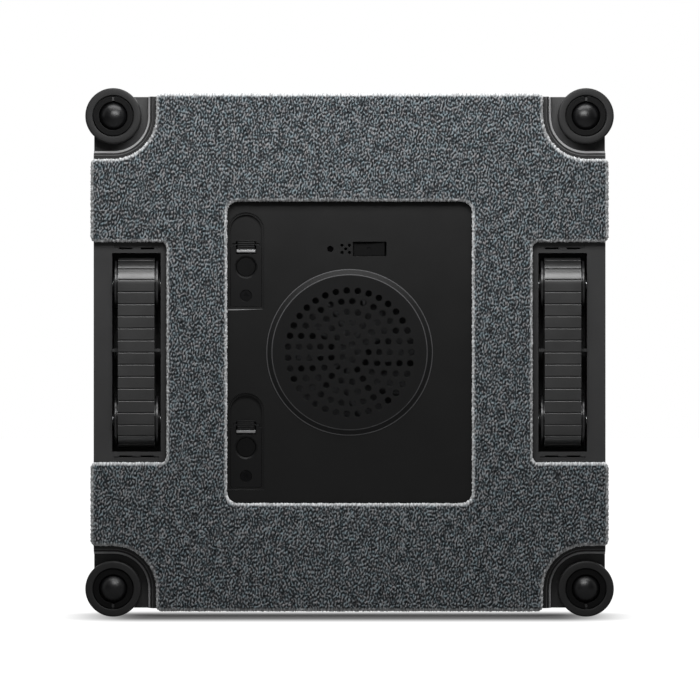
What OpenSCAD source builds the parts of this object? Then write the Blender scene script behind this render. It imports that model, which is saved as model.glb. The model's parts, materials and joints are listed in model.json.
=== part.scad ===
// Square window cleaning robot that clings to a pane of glass.
// Front view: x to the right, z up. Depth y runs from the glass, at y = 0, towards the handle.

/* [Casing] */
// Width and height of the square casing
body_w = 239; // [236:1:244]
// Radius of the casing's upright corners
body_corner_r = 10; // [9:0.25:10]
// Thickness of the base plate's side walls
wall_t = 2.5; // [2:0.1:3.5]
// Thickness of the base plate's front slab
slab_t = 4.5; // [4:0.1:6]
// Depth of the base plate's side walls
front_shell_d = 22; // [20:0.5:26]
// Depth of the rear cover
cover_d = 36; // [33:0.5:44]
// Thickness of the rear cover's walls
cover_wall_t = 2.2; // [1.8:0.1:3]
// Radius along the rear cover's edges
cover_edge_r = 14; // [8:1:18]
// Gap between pieces that are fitted into each other
fit_gap = 0.15; // [0.1:0.05:0.25]
// Radial gap of a shaft that runs in a bore
run_gap = 0.06; // [0.03:0.01:0.1]

/* [Cleaning pad] */
// How far the pad stands out past the casing on each side
pad_overhang = 1.2; // [0.6:0.1:2]
// Thickness of the looped pad
pad_t = 4.4; // [3.5:0.1:6]
// Width of the pad's opening
pad_opening_w = 114; // [112:0.5:116]
// Height of the pad's opening
pad_opening_h = 140.6; // [138:0.2:146]
// Corner radius of the pad's opening
pad_opening_r = 4.7; // [3:0.1:6]
// Radius of the pad's outer corners
pad_corner_r = 2.5; // [1.5:0.1:4]
// Radius of the pad's notch round each side roller
pad_notch_r = 20; // [19:0.25:22]
// Width that the pad's soft edge is rounded over
pad_edge_r = 1.1; // [0.6:0.1:1.4]
// Gap between the pad and the hooks of its tape
pad_gap = 0.3; // [0.2:0.05:0.6]
// Thickness of the hook tape
tape_t = 0.8; // [0.6:0.1:1.2]
// Margin from the pad's edge to the hook tape
tape_margin = 6; // [4:0.5:9]

/* [Tracks] */
// Distance from the casing's edge in to the middle of a track
track_inset = 20; // [19.5:0.25:21]
// Distance from the middle of a track in to the pad
track_notch_in = 14; // [13:0.25:15]
// Height of the pad's notch round a track
track_notch_h = 102.7; // [101.5:0.1:104]
// Width of a track's well
well_w = 22.7; // [22.3:0.1:23.5]
// Height of a track's well
well_h = 92.8; // [92:0.2:94]
// Width of a belt
belt_w = 17; // [15:0.25:17.5]
// Outer radius of a belt where it turns
belt_r = 13; // [12.5:0.1:13.5]
// Thickness of a belt
belt_t = 2.7; // [2:0.1:3]
// Distance between the two wheels of a track
wheel_span = 63.4; // [61:0.2:64]
// Distance from one tread groove to the next
tread_pitch = 5.6; // [4.5:0.1:8]
// Width of a tread groove
groove_w = 0.5; // [0.3:0.05:0.9]
// Depth of a tread groove
groove_d = 0.6; // [0.3:0.05:1]
// How far the belts and the plungers stay behind the pad's face
contact_set = 0.2; // [0.1:0.05:0.5]
// Gap between a belt and its wheels
belt_gap = 0.3; // [0.25:0.05:0.5]
// Thickness of a wheel's flange
flange_t = 1.1; // [0.8:0.1:1.4]
// Gap between a wheel's flange and the belt
flange_gap = 0.55; // [0.3:0.05:0.7]
// Radius of a wheel's flange
flange_r = 11.4; // [11:0.1:12]
// Radius of the track axles
axle_r = 2.5; // [2:0.1:3]
// Wall thickness of a track housing
housing_t = 1.5; // [1.2:0.1:1.7]
// Gap between the belt's rear run and the housing's floor
housing_gap = 1; // [0.6:0.1:2]
// Height of the carrier bar between the belt's runs
carrier_bar_h = 1.4; // [1:0.1:2.5]
// Height of the carrier bar over the middle of the track
carrier_bar_z = 1; // [-2:0.5:2]
// Length of a drain slot at the end of a well
drain_slot_l = 6.3; // [4:0.1:7]
// Height of a drain slot
drain_slot_h = 0.8; // [0.6:0.1:1]
// Distance between the two drain slots of a well's end
drain_slot_pitch = 10.1; // [9:0.1:11]
// Distance from the end of a well to its drain slots
drain_slot_offset = 2.15; // [2:0.05:2.5]
// Height of the shallow strip beside the drain slots
drain_strip_h = 2.1; // [1.5:0.1:2.4]
// Width of the shallow strip
drain_strip_w = 21.2; // [20:0.2:22]
// Depth of the shallow strip
drain_strip_d = 0.6; // [0.3:0.1:1]

/* [Track drive] */
// Module of the gear teeth
gear_m = 0.65; // [0.6:0.01:0.7]
// Teeth of the gear on the drive shaft
shaft_teeth = 16; // [15:1:17]
// Teeth of the gear on the gearbox
motor_teeth = 12; // [12:1:14]
// Pressure angle of the gear teeth in degrees
pressure_angle = 20; // [18:1:25]
// Share of half a pitch that a tooth takes
tooth_share = 0.93; // [0.9:0.01:0.96]
// Width of the gears
gear_w = 4.5; // [3:0.1:5]
// Extra distance between the two gears
gear_slack = 0.12; // [0.08:0.02:0.2]
// Radius of the gearbox's output shaft
output_r = 1.5; // [1.2:0.1:1.8]
// Length of a gearbox along the track axles
gearbox_l = 18; // [14:0.5:19]
// Depth of a gearbox
gearbox_d = 17; // [16.5:0.5:20]
// Height of a gearbox
gearbox_h = 24; // [20:0.5:26]
// Radius of a drive motor
drive_motor_r = 7.8; // [6:0.1:8]
// Length of a drive motor
drive_motor_l = 24; // [18:0.5:28]

/* [Side rollers] */
// Distance from the casing's edges in to the axis of a side roller
roller_inset = 9.2; // [9:0.1:9.6]
// Outer radius of a side roller
roller_r = 13; // [12:0.1:13.5]
// Depth of a side roller
roller_d = 10.4; // [8:0.2:12]
// Chamfer of a side roller's edges
roller_chamfer = 0.7; // [0.3:0.1:1.2]
// Distance from the glass to the side rollers
roller_set = 2.2; // [1.8:0.1:3]
// Outer radius of the post that carries a side roller
post_r = 8.7; // [8.6:0.05:9]
// Radius of a plunger and of its domed nose
plunger_r = 7; // [6.6:0.1:7.1]
// Travel of a plunger
plunger_travel = 2.5; // [1.5:0.1:3]
// Inner radius of a retaining ring
retainer_inner_r = 6.6; // [6.3:0.05:6.8]
// Outer radius of a retaining ring
retainer_r = 9.3; // [9.2:0.05:9.6]
// Thickness of a retaining ring
retainer_t = 1; // [0.8:0.1:1.3]
// Width of the slit in a retaining ring
retainer_slit = 1.2; // [0.8:0.1:1.5]
// Distance from a roller's face to its retaining ring
retainer_set = 0.7; // [0.4:0.1:0.9]
// Axial play of a side roller
roller_play = 0.3; // [0.2:0.05:0.5]
// Radius of a corner pocket's outer step
pocket_outer_r = 18.2; // [17.8:0.1:18.6]
// Radius of a corner pocket's middle step
pocket_middle_r = 17.2; // [16.8:0.1:17.6]
// Radius of a corner pocket's floor
pocket_inner_r = 16.2; // [15.6:0.1:16.6]
// Depth of a corner pocket's outer step
pocket_outer_d = 1.5; // [1:0.1:2.5]
// Depth of a corner pocket's middle step
pocket_middle_d = 2; // [1:0.1:3]
// Thickness of a corner pocket's floor
pocket_floor_t = 2.5; // [2:0.1:3.5]
// Outer radius of a plunger's spring
spring_r = 4.6; // [3.5:0.1:5.2]
// Wire radius of the springs
spring_wire_r = 0.45; // [0.3:0.05:0.6]

/* [Panel and fan] */
// Depth of the panel below the pad's landing
panel_drop = 1.5; // [1:0.1:2]
// How far the panel reaches under the pad's edge
panel_margin = 1; // [0.5:0.1:2]
// Outer radius of the fan grille's bevelled rim
grille_rim_r = 38.9; // [38:0.1:40]
// Radius of the fan grille's flat face
grille_face_r = 36.2; // [35:0.1:37]
// Height of the fan grille over the panel
grille_rise = 1.2; // [0.8:0.1:1.4]
// Height of the steps along both edges of the fan grille's bevel
grille_lip = 0.3; // [0.2:0.05:0.4]
// Thickness of the fan grille
grille_t = 1.6; // [1.3:0.1:2]
// Radius of the hole in the panel under the grille
fan_hole_r = 35; // [34:0.1:35.5]
// Radius of a hole in the grille
grille_hole_r = 1.5; // [1:0.05:1.7]
// Radius of the innermost ring of holes
grille_first_r = 3.83; // [3.5:0.01:4.2]
// Distance from one ring of holes to the next
grille_ring_pitch = 5; // [4.6:0.05:5.2]
// Number of rings of holes
grille_rings = 6; // [3:1:6]
// Number of holes in the innermost ring
grille_first_holes = 5; // [4:1:5]
// Holes that each ring has more than the one inside it
grille_more_holes = 6; // [4:1:6]
// Thickness of the fan seal
seal_t = 1.5; // [1:0.1:2.5]
// Width of the fan seal
seal_w = 5; // [3:0.2:6]
// Outer radius of the fan housing
fan_housing_r = 41; // [40.5:0.1:42]
// Depth of the fan housing
fan_housing_d = 17; // [15:0.5:18]
// Wall thickness of the fan housing
fan_housing_t = 2; // [1.5:0.1:3]
// Number of outlets in the fan housing's side
fan_outlets = 6; // [3:1:8]
// Radius of the impeller
impeller_r = 32; // [26:0.5:34]
// Depth of the impeller's blades
blade_d = 8; // [6:0.25:9]
// Number of impeller blades
blade_count = 9; // [6:1:12]
// Thickness of an impeller blade
blade_t = 1.3; // [0.8:0.1:2]
// Thickness of the impeller's back plate
impeller_plate_t = 1.4; // [1:0.1:2]
// Radius of the impeller's hub
impeller_hub_r = 8; // [5:0.5:10]
// Radius of the fan shaft
fan_shaft_r = 2; // [1.5:0.1:2.5]
// Radius of the suction motor
suction_motor_r = 17; // [14:0.5:20]
// Length of the suction motor behind the fan housing
suction_motor_l = 18; // [14:0.5:18.5]

/* [Latches] */
// Distance from the pad opening's edge in to the middle of the latches
latch_inset = 8.6; // [8.5:0.1:9.5]
// Distance between the two latches
latch_pitch = 84.35; // [82:0.25:88]
// Height of the latches' middle over the casing's middle
latch_mid_z = 0.6; // [-1:0.1:1.5]
// Width of a latch recess
latch_w = 17; // [16:0.1:17.2]
// Height of a latch recess
latch_h = 45.2; // [44:0.2:47]
// Depth of a latch plate below the panel
latch_drop = 0.9; // [0.6:0.1:1.1]
// Thickness of a latch plate
latch_plate_t = 1.8; // [1.4:0.1:2.2]
// Width of the ledge round the finger scoop
scoop_ledge = 1; // [0.6:0.1:1.6]
// Height of the lever's hinge over the latch's middle
lever_hinge_z = 7.4; // [6:0.1:9]
// Width of a latch lever
lever_w = 8; // [6:0.1:8.6]
// Height of a lever over its hinge
lever_up = 2.3; // [1.6:0.1:3]
// Height of a lever below its hinge
lever_down = 2.2; // [1.8:0.1:2.5]
// How far a lever stands out of the latch plate
lever_rise = 0.7; // [0.4:0.1:1]
// Radius of a lever's hinge barrel
lever_barrel_r = 1.5; // [1.3:0.1:1.8]
// Radius of a hinge pin
latch_pin_r = 0.75; // [0.6:0.05:0.9]
// Height of a lever's steel bar
latch_bar_h = 1.25; // [1:0.05:1.6]
// Depth of a lever's steel bar
latch_bar_d = 3; // [2:0.1:3.5]
// How far a steel bar stands out past its lever on each side
latch_bar_over = 0.4; // [0.2:0.05:0.6]
// Swing of a lever in degrees
lever_swing = 10; // [5:1:12]
// Number of grip grooves in a lever
grip_grooves = 4; // [2:1:5]
// Depth of the grip grooves in a lever
grip_groove = 0.3; // [0.2:0.05:0.5]
// Radius of a latch button
latch_button_r = 4.3; // [3.5:0.1:4.6]
// Radius of the dish round a latch button
latch_dish_r = 5.4; // [5:0.1:5.8]
// Height of a latch button below the latch's middle
latch_button_down = 2.9; // [2.5:0.1:4]
// Travel of a latch button
latch_button_travel = 1.2; // [0.6:0.1:1.5]
// Depth of a latch button
latch_button_d = 4.2; // [3.4:0.1:5]
// Height of a latch screw below the latch's middle
latch_screw_down = 16.3; // [14:0.1:17.5]
// Radius of a latch screw's head
latch_screw_head_r = 2.6; // [2:0.1:3]
// Radius of a latch screw's shank
latch_screw_r = 1.3; // [1:0.1:1.6]
// Wall round the hollows behind a latch
latch_boss_t = 1.5; // [1.2:0.1:2]

/* [Switch and sound holes] */
// Width of the switch window
switch_w = 15.7; // [14:0.1:17]
// Height of the switch window
switch_h = 6.8; // [6:0.1:8]
// Distance of the switch to the right of the casing's middle
switch_x = 9.4; // [9:0.1:12]
// Height of the row of switch and holes over the casing's middle
switch_row_z = 48.3; // [47:0.1:49]
// Depth of the rocker below the panel
rocker_drop = 1.4; // [1:0.1:1.6]
// Tilt of the rocker in degrees
rocker_tilt = 5; // [3:0.5:6]
// Depth of the rocker
rocker_d = 4.6; // [4:0.1:6]
// Radius of the rocker's pin
rocker_pin_r = 0.9; // [0.7:0.05:1.1]
// Wall thickness of the switch frame
switch_wall_t = 1.2; // [0.8:0.1:1.5]
// Radius of the lamp hole
lamp_hole_r = 1.5; // [1:0.1:1.7]
// Distance of the lamp hole to the left of the casing's middle
lamp_hole_x = 9; // [8.8:0.1:10]
// Radius of a sound hole
sound_hole_r = 0.75; // [0.5:0.05:0.9]
// Half the distance between the outer sound holes
sound_hole_pitch = 1.7; // [1.5:0.05:2]
// Distance of the sound holes to the left of the casing's middle
sound_hole_x = 1.8; // [1.8:0.1:2.4]

/* [Rear side] */
// Radius of the hollow under the handle
dish_r = 48; // [44:0.5:50]
// Depth of the hollow under the handle
dish_d = 12; // [9:0.25:13]
// Length of the handle
handle_l = 132; // [124:1:136]
// Width of the handle
handle_w = 26; // [20:0.5:32]
// Height of the handle over the rear cover
handle_rise = 15; // [13:0.25:20]
// Thickness of the handle's bar
handle_t = 9; // [7:0.25:10]
// Length of each foot of the handle
handle_foot = 12; // [10:0.5:13]
// Corner radius of the handle
handle_r = 10; // [6:0.5:12]
// Radius along the handle's long edges
handle_edge_r = 4; // [2:0.5:5]
// Length of the grip on the handle
grip_l = 88; // [70:1:96]
// Width of the grip on the handle
grip_w = 13; // [9:0.5:14]
// Depth of the grip's seat
grip_seat = 0.8; // [0.5:0.1:1.2]
// How far the grip stands out of the handle
grip_rise = 0.4; // [0.2:0.1:0.8]
// Distance from the casing's edge in to the middle of a vent grille
vent_inset = 31.5; // [29.5:0.5:33.5]
// Width of a vent grille
vent_w = 28; // [24:0.5:30]
// Height of a vent grille
vent_h = 72; // [60:1:80]
// Width of the flange behind a vent grille
vent_flange = 1.5; // [1:0.1:2]
// Distance from one vent slot to the next
vent_pitch = 6; // [5:0.25:8]
// Height of a vent slot
vent_slot_h = 2.8; // [2:0.1:3.5]
// Margin round the vent slots
vent_margin = 4; // [3:0.25:5]
// Radius of the start button
start_r = 8; // [6:0.25:10]
// Distance from the casing's lower edge up to the start button
start_inset = 35.5; // [31.5:0.5:41.5]
// How far the start button stands out of the rear cover
start_rise = 0.8; // [0.4:0.1:1.4]
// Width of the light ring round the start button
light_ring_w = 2.4; // [1.6:0.1:3]
// Depth of the light ring's groove
light_ring_d = 1.1; // [0.8:0.1:1.3]
// Width of the land between the start button and the light ring
light_ring_land = 1.2; // [0.8:0.1:2]
// Width of the receiver window
receiver_w = 22; // [14:0.5:28]
// Height of the receiver window
receiver_h = 8; // [6:0.25:10]
// Distance from the casing's upper edge down to the receiver window
receiver_inset = 35.5; // [31.5:0.5:41.5]
// Distance from the casing's side edges in to the cord gland and the tether eye
fitting_side = 67.5; // [63.5:0.5:71.5]
// Distance from the casing's upper edge down to the cord gland and the tether eye
fitting_inset = 35.5; // [31.5:0.5:41.5]
// Outer radius of the cord gland
gland_r = 7.5; // [6:0.1:9]
// Radius of the hole through the cord gland
gland_hole_r = 3; // [2:0.1:3.5]
// How far the cord gland stands out
gland_rise = 6; // [4:0.25:8]
// Wire radius of the tether eye
tether_wire_r = 1.4; // [1:0.1:1.8]
// Width of the tether eye between its wires' middles
tether_w = 22; // [18:0.5:26]
// Height of the tether eye between its wires' middles
tether_h = 17; // [13:0.5:20]
// Width of the lug that holds the tether eye
tether_lug_w = 12; // [8:0.5:14]

/* [Inside] */
// Radius of a battery cell
cell_r = 9.1; // [8:0.1:9.5]
// Length of a battery cell
cell_l = 65; // [50:0.5:66]
// Number of battery cells
cell_count = 3; // [1:1:3]
// Wall thickness of the battery tray
tray_t = 1.5; // [1:0.1:2]
// Distance from the casing's upper edge down to the battery's middle
battery_inset = 36; // [34.5:0.25:37]
// Width of the main board
board_w = 74; // [60:0.5:80]
// Height of the main board
board_h = 44; // [36:0.5:48]
// Thickness of the main board
board_t = 1.6; // [1:0.1:2]
// Distance from the casing's lower edge up to the main board's middle
board_edge = 37.5; // [33.5:0.5:39.5]
// Height of the posts under the main board
board_post_l = 4; // [3:0.25:6]
// Distance from the casing's edges in to the case screws
case_screw_inset = 42.5; // [40.5:0.5:45.5]
// Radius of a case screw's shank
case_screw_r = 1.5; // [1.2:0.1:1.8]
// Radius of a case screw's head
case_screw_head_r = 3; // [2.5:0.1:3.3]
// Depth of a case screw's head
case_screw_head_d = 2; // [1.5:0.1:2.4]
// Length of thread that a case screw has in the rear cover
case_screw_grip = 8; // [5:0.5:12]
// Radius of the posts that the case screws go through
screw_post_r = 4.5; // [4:0.1:5]

/* [Hidden] */
$fn = 64;
// Overrun of cuts past the surfaces that they open
over = wall_t * 0.4;

// Depths of the main surfaces, counted from the glass
landing_y = pad_t + pad_gap + tape_t;
slab_y = landing_y + slab_t;
split_y = landing_y + front_shell_d;
rear_y = split_y + cover_d;
panel_y = landing_y + panel_drop;
dish_y = rear_y - dish_d;

half_w = body_w / 2;
roller_at = half_w - roller_inset;
track_x = half_w - track_inset;
case_screw_at = half_w - case_screw_inset;
pad_half = half_w + pad_overhang;
panel_w = pad_opening_w + 2 * panel_margin;
panel_h = pad_opening_h + 2 * panel_margin;
panel_corner_r = pad_opening_r + panel_margin;
// Each layer of the pad's rounded edge: where it starts and ends, and how far it is drawn in
pad_edge_shares = [[0, 0.3, 0.6], [0.3, 0.65, 0.25], [0.65, 1, 0.07]];

// Tracks
belt_axis_y = contact_set + belt_r;
belt_inner_r = belt_r - belt_t;
wheel_r = belt_inner_r - belt_gap;
wheel_z = wheel_span / 2;
flange_x = belt_w / 2 + flange_gap;
housing_floor_y = belt_axis_y + belt_r + housing_gap;
housing_half_w = well_w / 2 + housing_t;
belt_loop_l = 2 * wheel_span + 2 * PI * belt_r;
groove_count = round(belt_loop_l / tread_pitch);
groove_step = belt_loop_l / groove_count;
carrier_margin = belt_gap + groove_d;
wheel_play = fit_gap * 2;

// Track drive
shaft_gear_r = gear_m * shaft_teeth / 2;
motor_gear_r = gear_m * motor_teeth / 2;
tooth_top = gear_m * 0.85;
tooth_root = gear_m * 1.1;
gear_gap = fit_gap * 3;
flank_steps = 4;
gear_out_x = track_x - housing_half_w - gear_gap;
gear_in_x = gear_out_x - gear_w;
gear_room_r = shaft_gear_r + tooth_top + gear_gap;
output_y = belt_axis_y + shaft_gear_r + motor_gear_r + gear_slack;
gearbox_out_x = gear_in_x - 2 * gear_gap;
gearbox_in_x = gearbox_out_x - gearbox_l;
gearbox_top_z = -wheel_z + gearbox_h / 4;
gearbox_y = output_y + gearbox_d * 0.15;
drive_motor_z = gearbox_top_z - gearbox_h * 0.6;
output_l = gearbox_l / 3;

// Side rollers
roller_back_y = roller_set + roller_d;
retainer_y = roller_set + retainer_set;
post_front_y = retainer_y + retainer_t;
pocket_floor_y = roller_back_y + roller_play;
plunger_bore_r = plunger_r + run_gap;
plunger_back_y = pocket_floor_y - roller_play;
spring_seat_y = plunger_back_y + 2 * plunger_travel;

// Panel, grille and fan
grille_y = panel_y - grille_rise;
fan_housing_y = slab_y + seal_t;
fan_back_y = fan_housing_y + fan_housing_d;
blade_y = slab_y + 2 * seal_t;
impeller_back_y = blade_y + blade_d;
fan_shaft_front_y = blade_y + blade_d * 0.4;
motor_bore_l = suction_motor_l * 0.5;

// Latches
latch_x = pad_opening_w / 2 - latch_inset;
latch_face_y = panel_y + latch_drop;
latch_seat_y = latch_face_y + latch_plate_t;
latch_hinge_y = latch_seat_y + lever_barrel_r * 2 / 3;
lever_front_y = latch_face_y - lever_rise;
lever_back_y = latch_seat_y - 2 * fit_gap;
latch_bar_y = lever_front_y + fit_gap;
latch_bar_top = lever_hinge_z - lever_down;
latch_room = 2 * fit_gap;
lever_room_w = lever_w + 2 * latch_bar_over + 2 * latch_room;
lever_room_low = latch_bar_top - latch_bar_h - latch_bar_d * sin(lever_swing) - latch_room;
lever_room_high = lever_hinge_z + lever_barrel_r + latch_room;
lever_room_y = latch_hinge_y + lever_barrel_r + latch_room;
latch_button_y = latch_face_y + lever_rise / 2;
latch_button_back_y = latch_button_y + latch_button_d;
latch_flange_r = latch_button_r + latch_plate_t * 0.4;
button_room_r = latch_flange_r + fit_gap;
latch_spring_l = latch_button_travel * 1.5;
button_room_y = latch_button_back_y + latch_spring_l;
latch_boss_y = button_room_y + latch_boss_t;
latch_pin_half = lever_room_w / 2 + 2 * latch_pin_r;
latch_screw_l = latch_boss_y - latch_face_y - latch_boss_t;
latch_notch_w = latch_w / 6;

// Rocker switch
rocker_front_y = panel_y + rocker_drop;
rocker_axis_y = slab_y + 2 * rocker_pin_r;
rocker_half = switch_w / 2 - 4 * fit_gap;
switch_frame_y = slab_y + rocker_d + 2 * rocker_pin_r;
buzzer_right = switch_x - switch_w / 2 - switch_wall_t - fit_gap;
buzzer_w = 4 * sound_hole_pitch;
buzzer_d = 2.4 * sound_hole_pitch;
lamp_flange_r = lamp_hole_r * 4 / 3;

// Rear side
vent_x = half_w - vent_inset;
start_down = half_w - start_inset;
receiver_up = half_w - receiver_inset;
fitting_x = half_w - fitting_side;
fitting_up = half_w - fitting_inset;
light_ring_in = start_r + fit_gap + light_ring_land;
light_ring_out = light_ring_in + light_ring_w;
vent_r = vent_margin;
vent_slots = floor((vent_h - 2 * vent_margin + vent_pitch - vent_slot_h) / vent_pitch);
vent_flange_t = cover_wall_t * 0.6;
tether_axis_y = rear_y + 3 * tether_wire_r;
tether_lug_r = tether_wire_r * 2.2;
gland_stem_r = (gland_r + gland_hole_r) / 2;
gland_nut_t = gland_rise / 2;
start_flange = light_ring_land;

// Battery and board
battery_up = half_w - battery_inset;
board_down = half_w - board_edge;
cell_pitch = 2 * cell_r + 2 * fit_gap;
tray_w = cell_l + 2 * tray_t + 4 * fit_gap;
tray_h = cell_count * cell_pitch + 2 * tray_t;
cell_y = slab_y + tray_t + cell_r + fit_gap;
board_y = slab_y + board_post_l;
board_post_r = board_post_l * 0.75;
board_inset = board_post_l;

// Sides, as a factor on x or z
left = -1;
right = 1;
upper = 1;
lower = -1;

// Extrudes a front view drawing, x right and z up, between two depths.
module along_y(from_y, to_y) {
    translate([0, to_y, 0]) rotate([90, 0, 0]) linear_extrude(height = to_y - from_y) children();
}

// Extrudes a side view drawing, depth y right and z up, between two places on x.
module along_x(from_x, to_x) {
    translate([min(from_x, to_x), 0, 0]) rotate([90, 0, 90])
        linear_extrude(height = abs(to_x - from_x)) children();
}

// Extrudes a top view drawing, x right and depth y up, between two heights.
module along_z(from_z, to_z) {
    translate([0, 0, from_z]) linear_extrude(height = to_z - from_z) children();
}

// Places a copy at each of the four corners, turned about the middle.
module at_corners() {
    for (turn = [0 : 90 : 270]) rotate(turn) children();
}

// Draws a shape and its mirror image on the left.
module both_sides() {
    children();
    mirror([1, 0]) children();
}

module rounded_rect(w, h, r) {
    square([w - 2 * r, h], center = true);
    square([w, h - 2 * r], center = true);
    for (sx = [left, right], sz = [lower, upper])
        translate([sx * (w / 2 - r), sz * (h / 2 - r)]) circle(r);
}

// The bit that rounding takes off a square corner whose solid lies to the lower left.
module corner_trim(r) {
    difference() {
        translate([-r, -r]) square(r + over);
        translate([-r, -r]) circle(r);
    }
}

module casing_outline(inset) {
    rounded_rect(body_w - 2 * inset, body_w - 2 * inset, body_corner_r - inset);
}

// Round recess about the upper right roller that runs out straight to both edges of the casing.
module corner_recess(r) {
    reach = pad_half - roller_at + over;
    translate([roller_at, roller_at]) {
        circle(r);
        translate([-r, 0]) square([r + reach, reach]);
        translate([0, -r]) square([reach, r + reach]);
    }
}

// Outline of the pad, drawn in all round by an inset.
module pad_outline(inset) {
    outer = pad_half - inset;
    notch_edge = roller_at - pad_notch_r - inset;
    notch_in = track_x - track_notch_in - inset;
    notch_half = track_notch_h / 2 + inset;
    soft_r = max(pad_corner_r - inset, pad_edge_r / 2);
    difference() {
        square(2 * outer, center = true);
        rounded_rect(pad_opening_w + 2 * inset, pad_opening_h + 2 * inset, pad_opening_r + inset);
        at_corners() {
            corner_recess(pad_notch_r + inset);
            translate([notch_edge, outer]) corner_trim(soft_r);
            translate([outer, notch_edge]) corner_trim(soft_r);
        }
        both_sides() {
            translate([notch_in + pad_half, 0]) rounded_rect(2 * pad_half, 2 * notch_half, pad_corner_r);
            translate([outer, notch_half]) mirror([0, 1]) corner_trim(soft_r);
            translate([outer, -notch_half]) corner_trim(soft_r);
        }
    }
}

module cleaning_pad() {
    color("#4d5459") {
        along_y(pad_edge_r, pad_t) pad_outline(0);
        for (layer = pad_edge_shares)
            along_y(layer[0] * pad_edge_r, layer[1] * pad_edge_r) pad_outline(layer[2] * pad_edge_r);
    }
}

module pad_hook_tape() {
    color("#1c1d1f") along_y(landing_y - tape_t, landing_y) difference() {
        pad_outline(tape_margin);
        case_screw_places() circle(case_screw_head_r + fit_gap);
    }
}

module case_screw_places() {
    for (sx = [left, right], sz = [lower, upper])
        translate([sx * case_screw_at, sz * case_screw_at]) children();
}

// Outline of one latch recess, centred on the latch, with a round top.
module latch_outline(inset) {
    w = latch_w - 2 * inset;
    low = -latch_h / 2 + inset;
    arch_z = latch_h / 2 - latch_w / 2;
    translate([-w / 2, low]) square([w, arch_z - low]);
    translate([0, arch_z]) circle(w / 2);
}

// Places a drawing on the upper or lower latch.
module at_latch(level) {
    translate([-latch_x, latch_mid_z + level * latch_pitch / 2]) children();
}

// Places a solid on the upper or lower latch.
module latch_solid(level) {
    translate([-latch_x, 0, latch_mid_z + level * latch_pitch / 2]) children();
}

module base_plate() {
    color("#2a2b2d") difference() {
        union() {
            difference() {
                union() {
                    along_y(landing_y, slab_y) casing_outline(0);
                    along_y(landing_y, split_y) difference() {
                        casing_outline(0);
                        casing_outline(wall_t);
                    }
                    along_y(landing_y, pocket_floor_y + pocket_floor_t) intersection() {
                        casing_outline(0);
                        at_corners() corner_recess(pocket_inner_r + pocket_floor_t);
                    }
                }
                corner_pockets();
            }
            roller_posts();
            latch_bosses();
            inner_posts();
        }
        plunger_bores();
        track_openings();
        panel_cuts();
        latch_cuts();
        case_screw_cuts();
    }
}

module corner_pockets() {
    middle_y = landing_y + pocket_outer_d;
    inner_y = middle_y + pocket_middle_d;
    along_y(landing_y - over, middle_y) at_corners() corner_recess(pocket_outer_r);
    along_y(middle_y - over, inner_y) at_corners() corner_recess(pocket_middle_r);
    along_y(inner_y - over, pocket_floor_y) at_corners() corner_recess(pocket_inner_r);
}

// Hollow posts that carry the rollers, closed behind the springs.
module roller_posts() {
    along_y(post_front_y, spring_seat_y + wall_t) at_corners()
        translate([roller_at, roller_at]) circle(post_r);
}

module plunger_bores() {
    along_y(post_front_y - over, spring_seat_y) at_corners()
        translate([roller_at, roller_at]) circle(plunger_bore_r);
}

// Solid blocks behind the latches, hollowed later.
module latch_bosses() {
    for (level = [lower, upper])
        along_y(landing_y + slab_t / 2, latch_boss_y) at_latch(level)
            square([latch_w, latch_h], center = true);
}

// Posts for the case screws and the main board, and feet under the gearboxes.
module inner_posts() {
    along_y(slab_y - over, split_y) case_screw_places() circle(screw_post_r);
    along_y(slab_y - over, board_y) board_post_places() circle(board_post_r);
    along_y(slab_y - over, gearbox_y - gearbox_d / 2) both_sides()
        translate([gearbox_in_x, gearbox_top_z - gearbox_h]) square([gearbox_l, gearbox_h * 0.35]);
}

module board_post_places() {
    for (sx = [left, right], sz = [lower, upper])
        translate([sx * (board_w / 2 - board_inset), -board_down + sz * (board_h / 2 - board_inset)])
            children();
}

// Wells, their end slots and strips, and room for the drive gears.
module track_openings() {
    strip_z = well_h / 2 + drain_slot_offset + drain_slot_h / 2;
    along_y(landing_y - over, slab_y + over) both_sides() translate([track_x, 0]) {
        square([well_w, well_h], center = true);
        for (sx = [left, right], sz = [lower, upper])
            translate([sx * drain_slot_pitch / 2, sz * (well_h / 2 + drain_slot_offset)])
                square([drain_slot_l, drain_slot_h], center = true);
    }
    along_y(landing_y - over, landing_y + drain_strip_d) both_sides() translate([track_x, 0])
        for (sz = [lower, upper])
            translate([0, sz * (strip_z + drain_strip_h / 2 - drain_slot_h / 2)])
                square([drain_strip_w, drain_strip_h], center = true);
    along_y(belt_axis_y - gear_room_r, slab_y + over) both_sides()
        translate([gear_in_x - gear_gap, -wheel_z - gear_room_r])
            square([gear_w + 2 * gear_gap, 2 * gear_room_r]);
}

// Sunken panel with the fan hole, the switch window, the lamp hole and the sound holes.
module panel_cuts() {
    along_y(landing_y - over, panel_y) rounded_rect(panel_w, panel_h, panel_corner_r);
    along_y(landing_y, slab_y + over) {
        circle(fan_hole_r);
        translate([0, switch_row_z]) {
            translate([switch_x, 0]) square([switch_w, switch_h], center = true);
            translate([-lamp_hole_x, 0]) circle(lamp_hole_r);
            translate([-sound_hole_x, 0]) sound_holes();
        }
    }
}

module sound_holes() {
    circle(sound_hole_r);
    for (sx = [left, right], sz = [lower, upper])
        translate([sx * sound_hole_pitch, sz * sound_hole_pitch]) circle(sound_hole_r);
}

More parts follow.
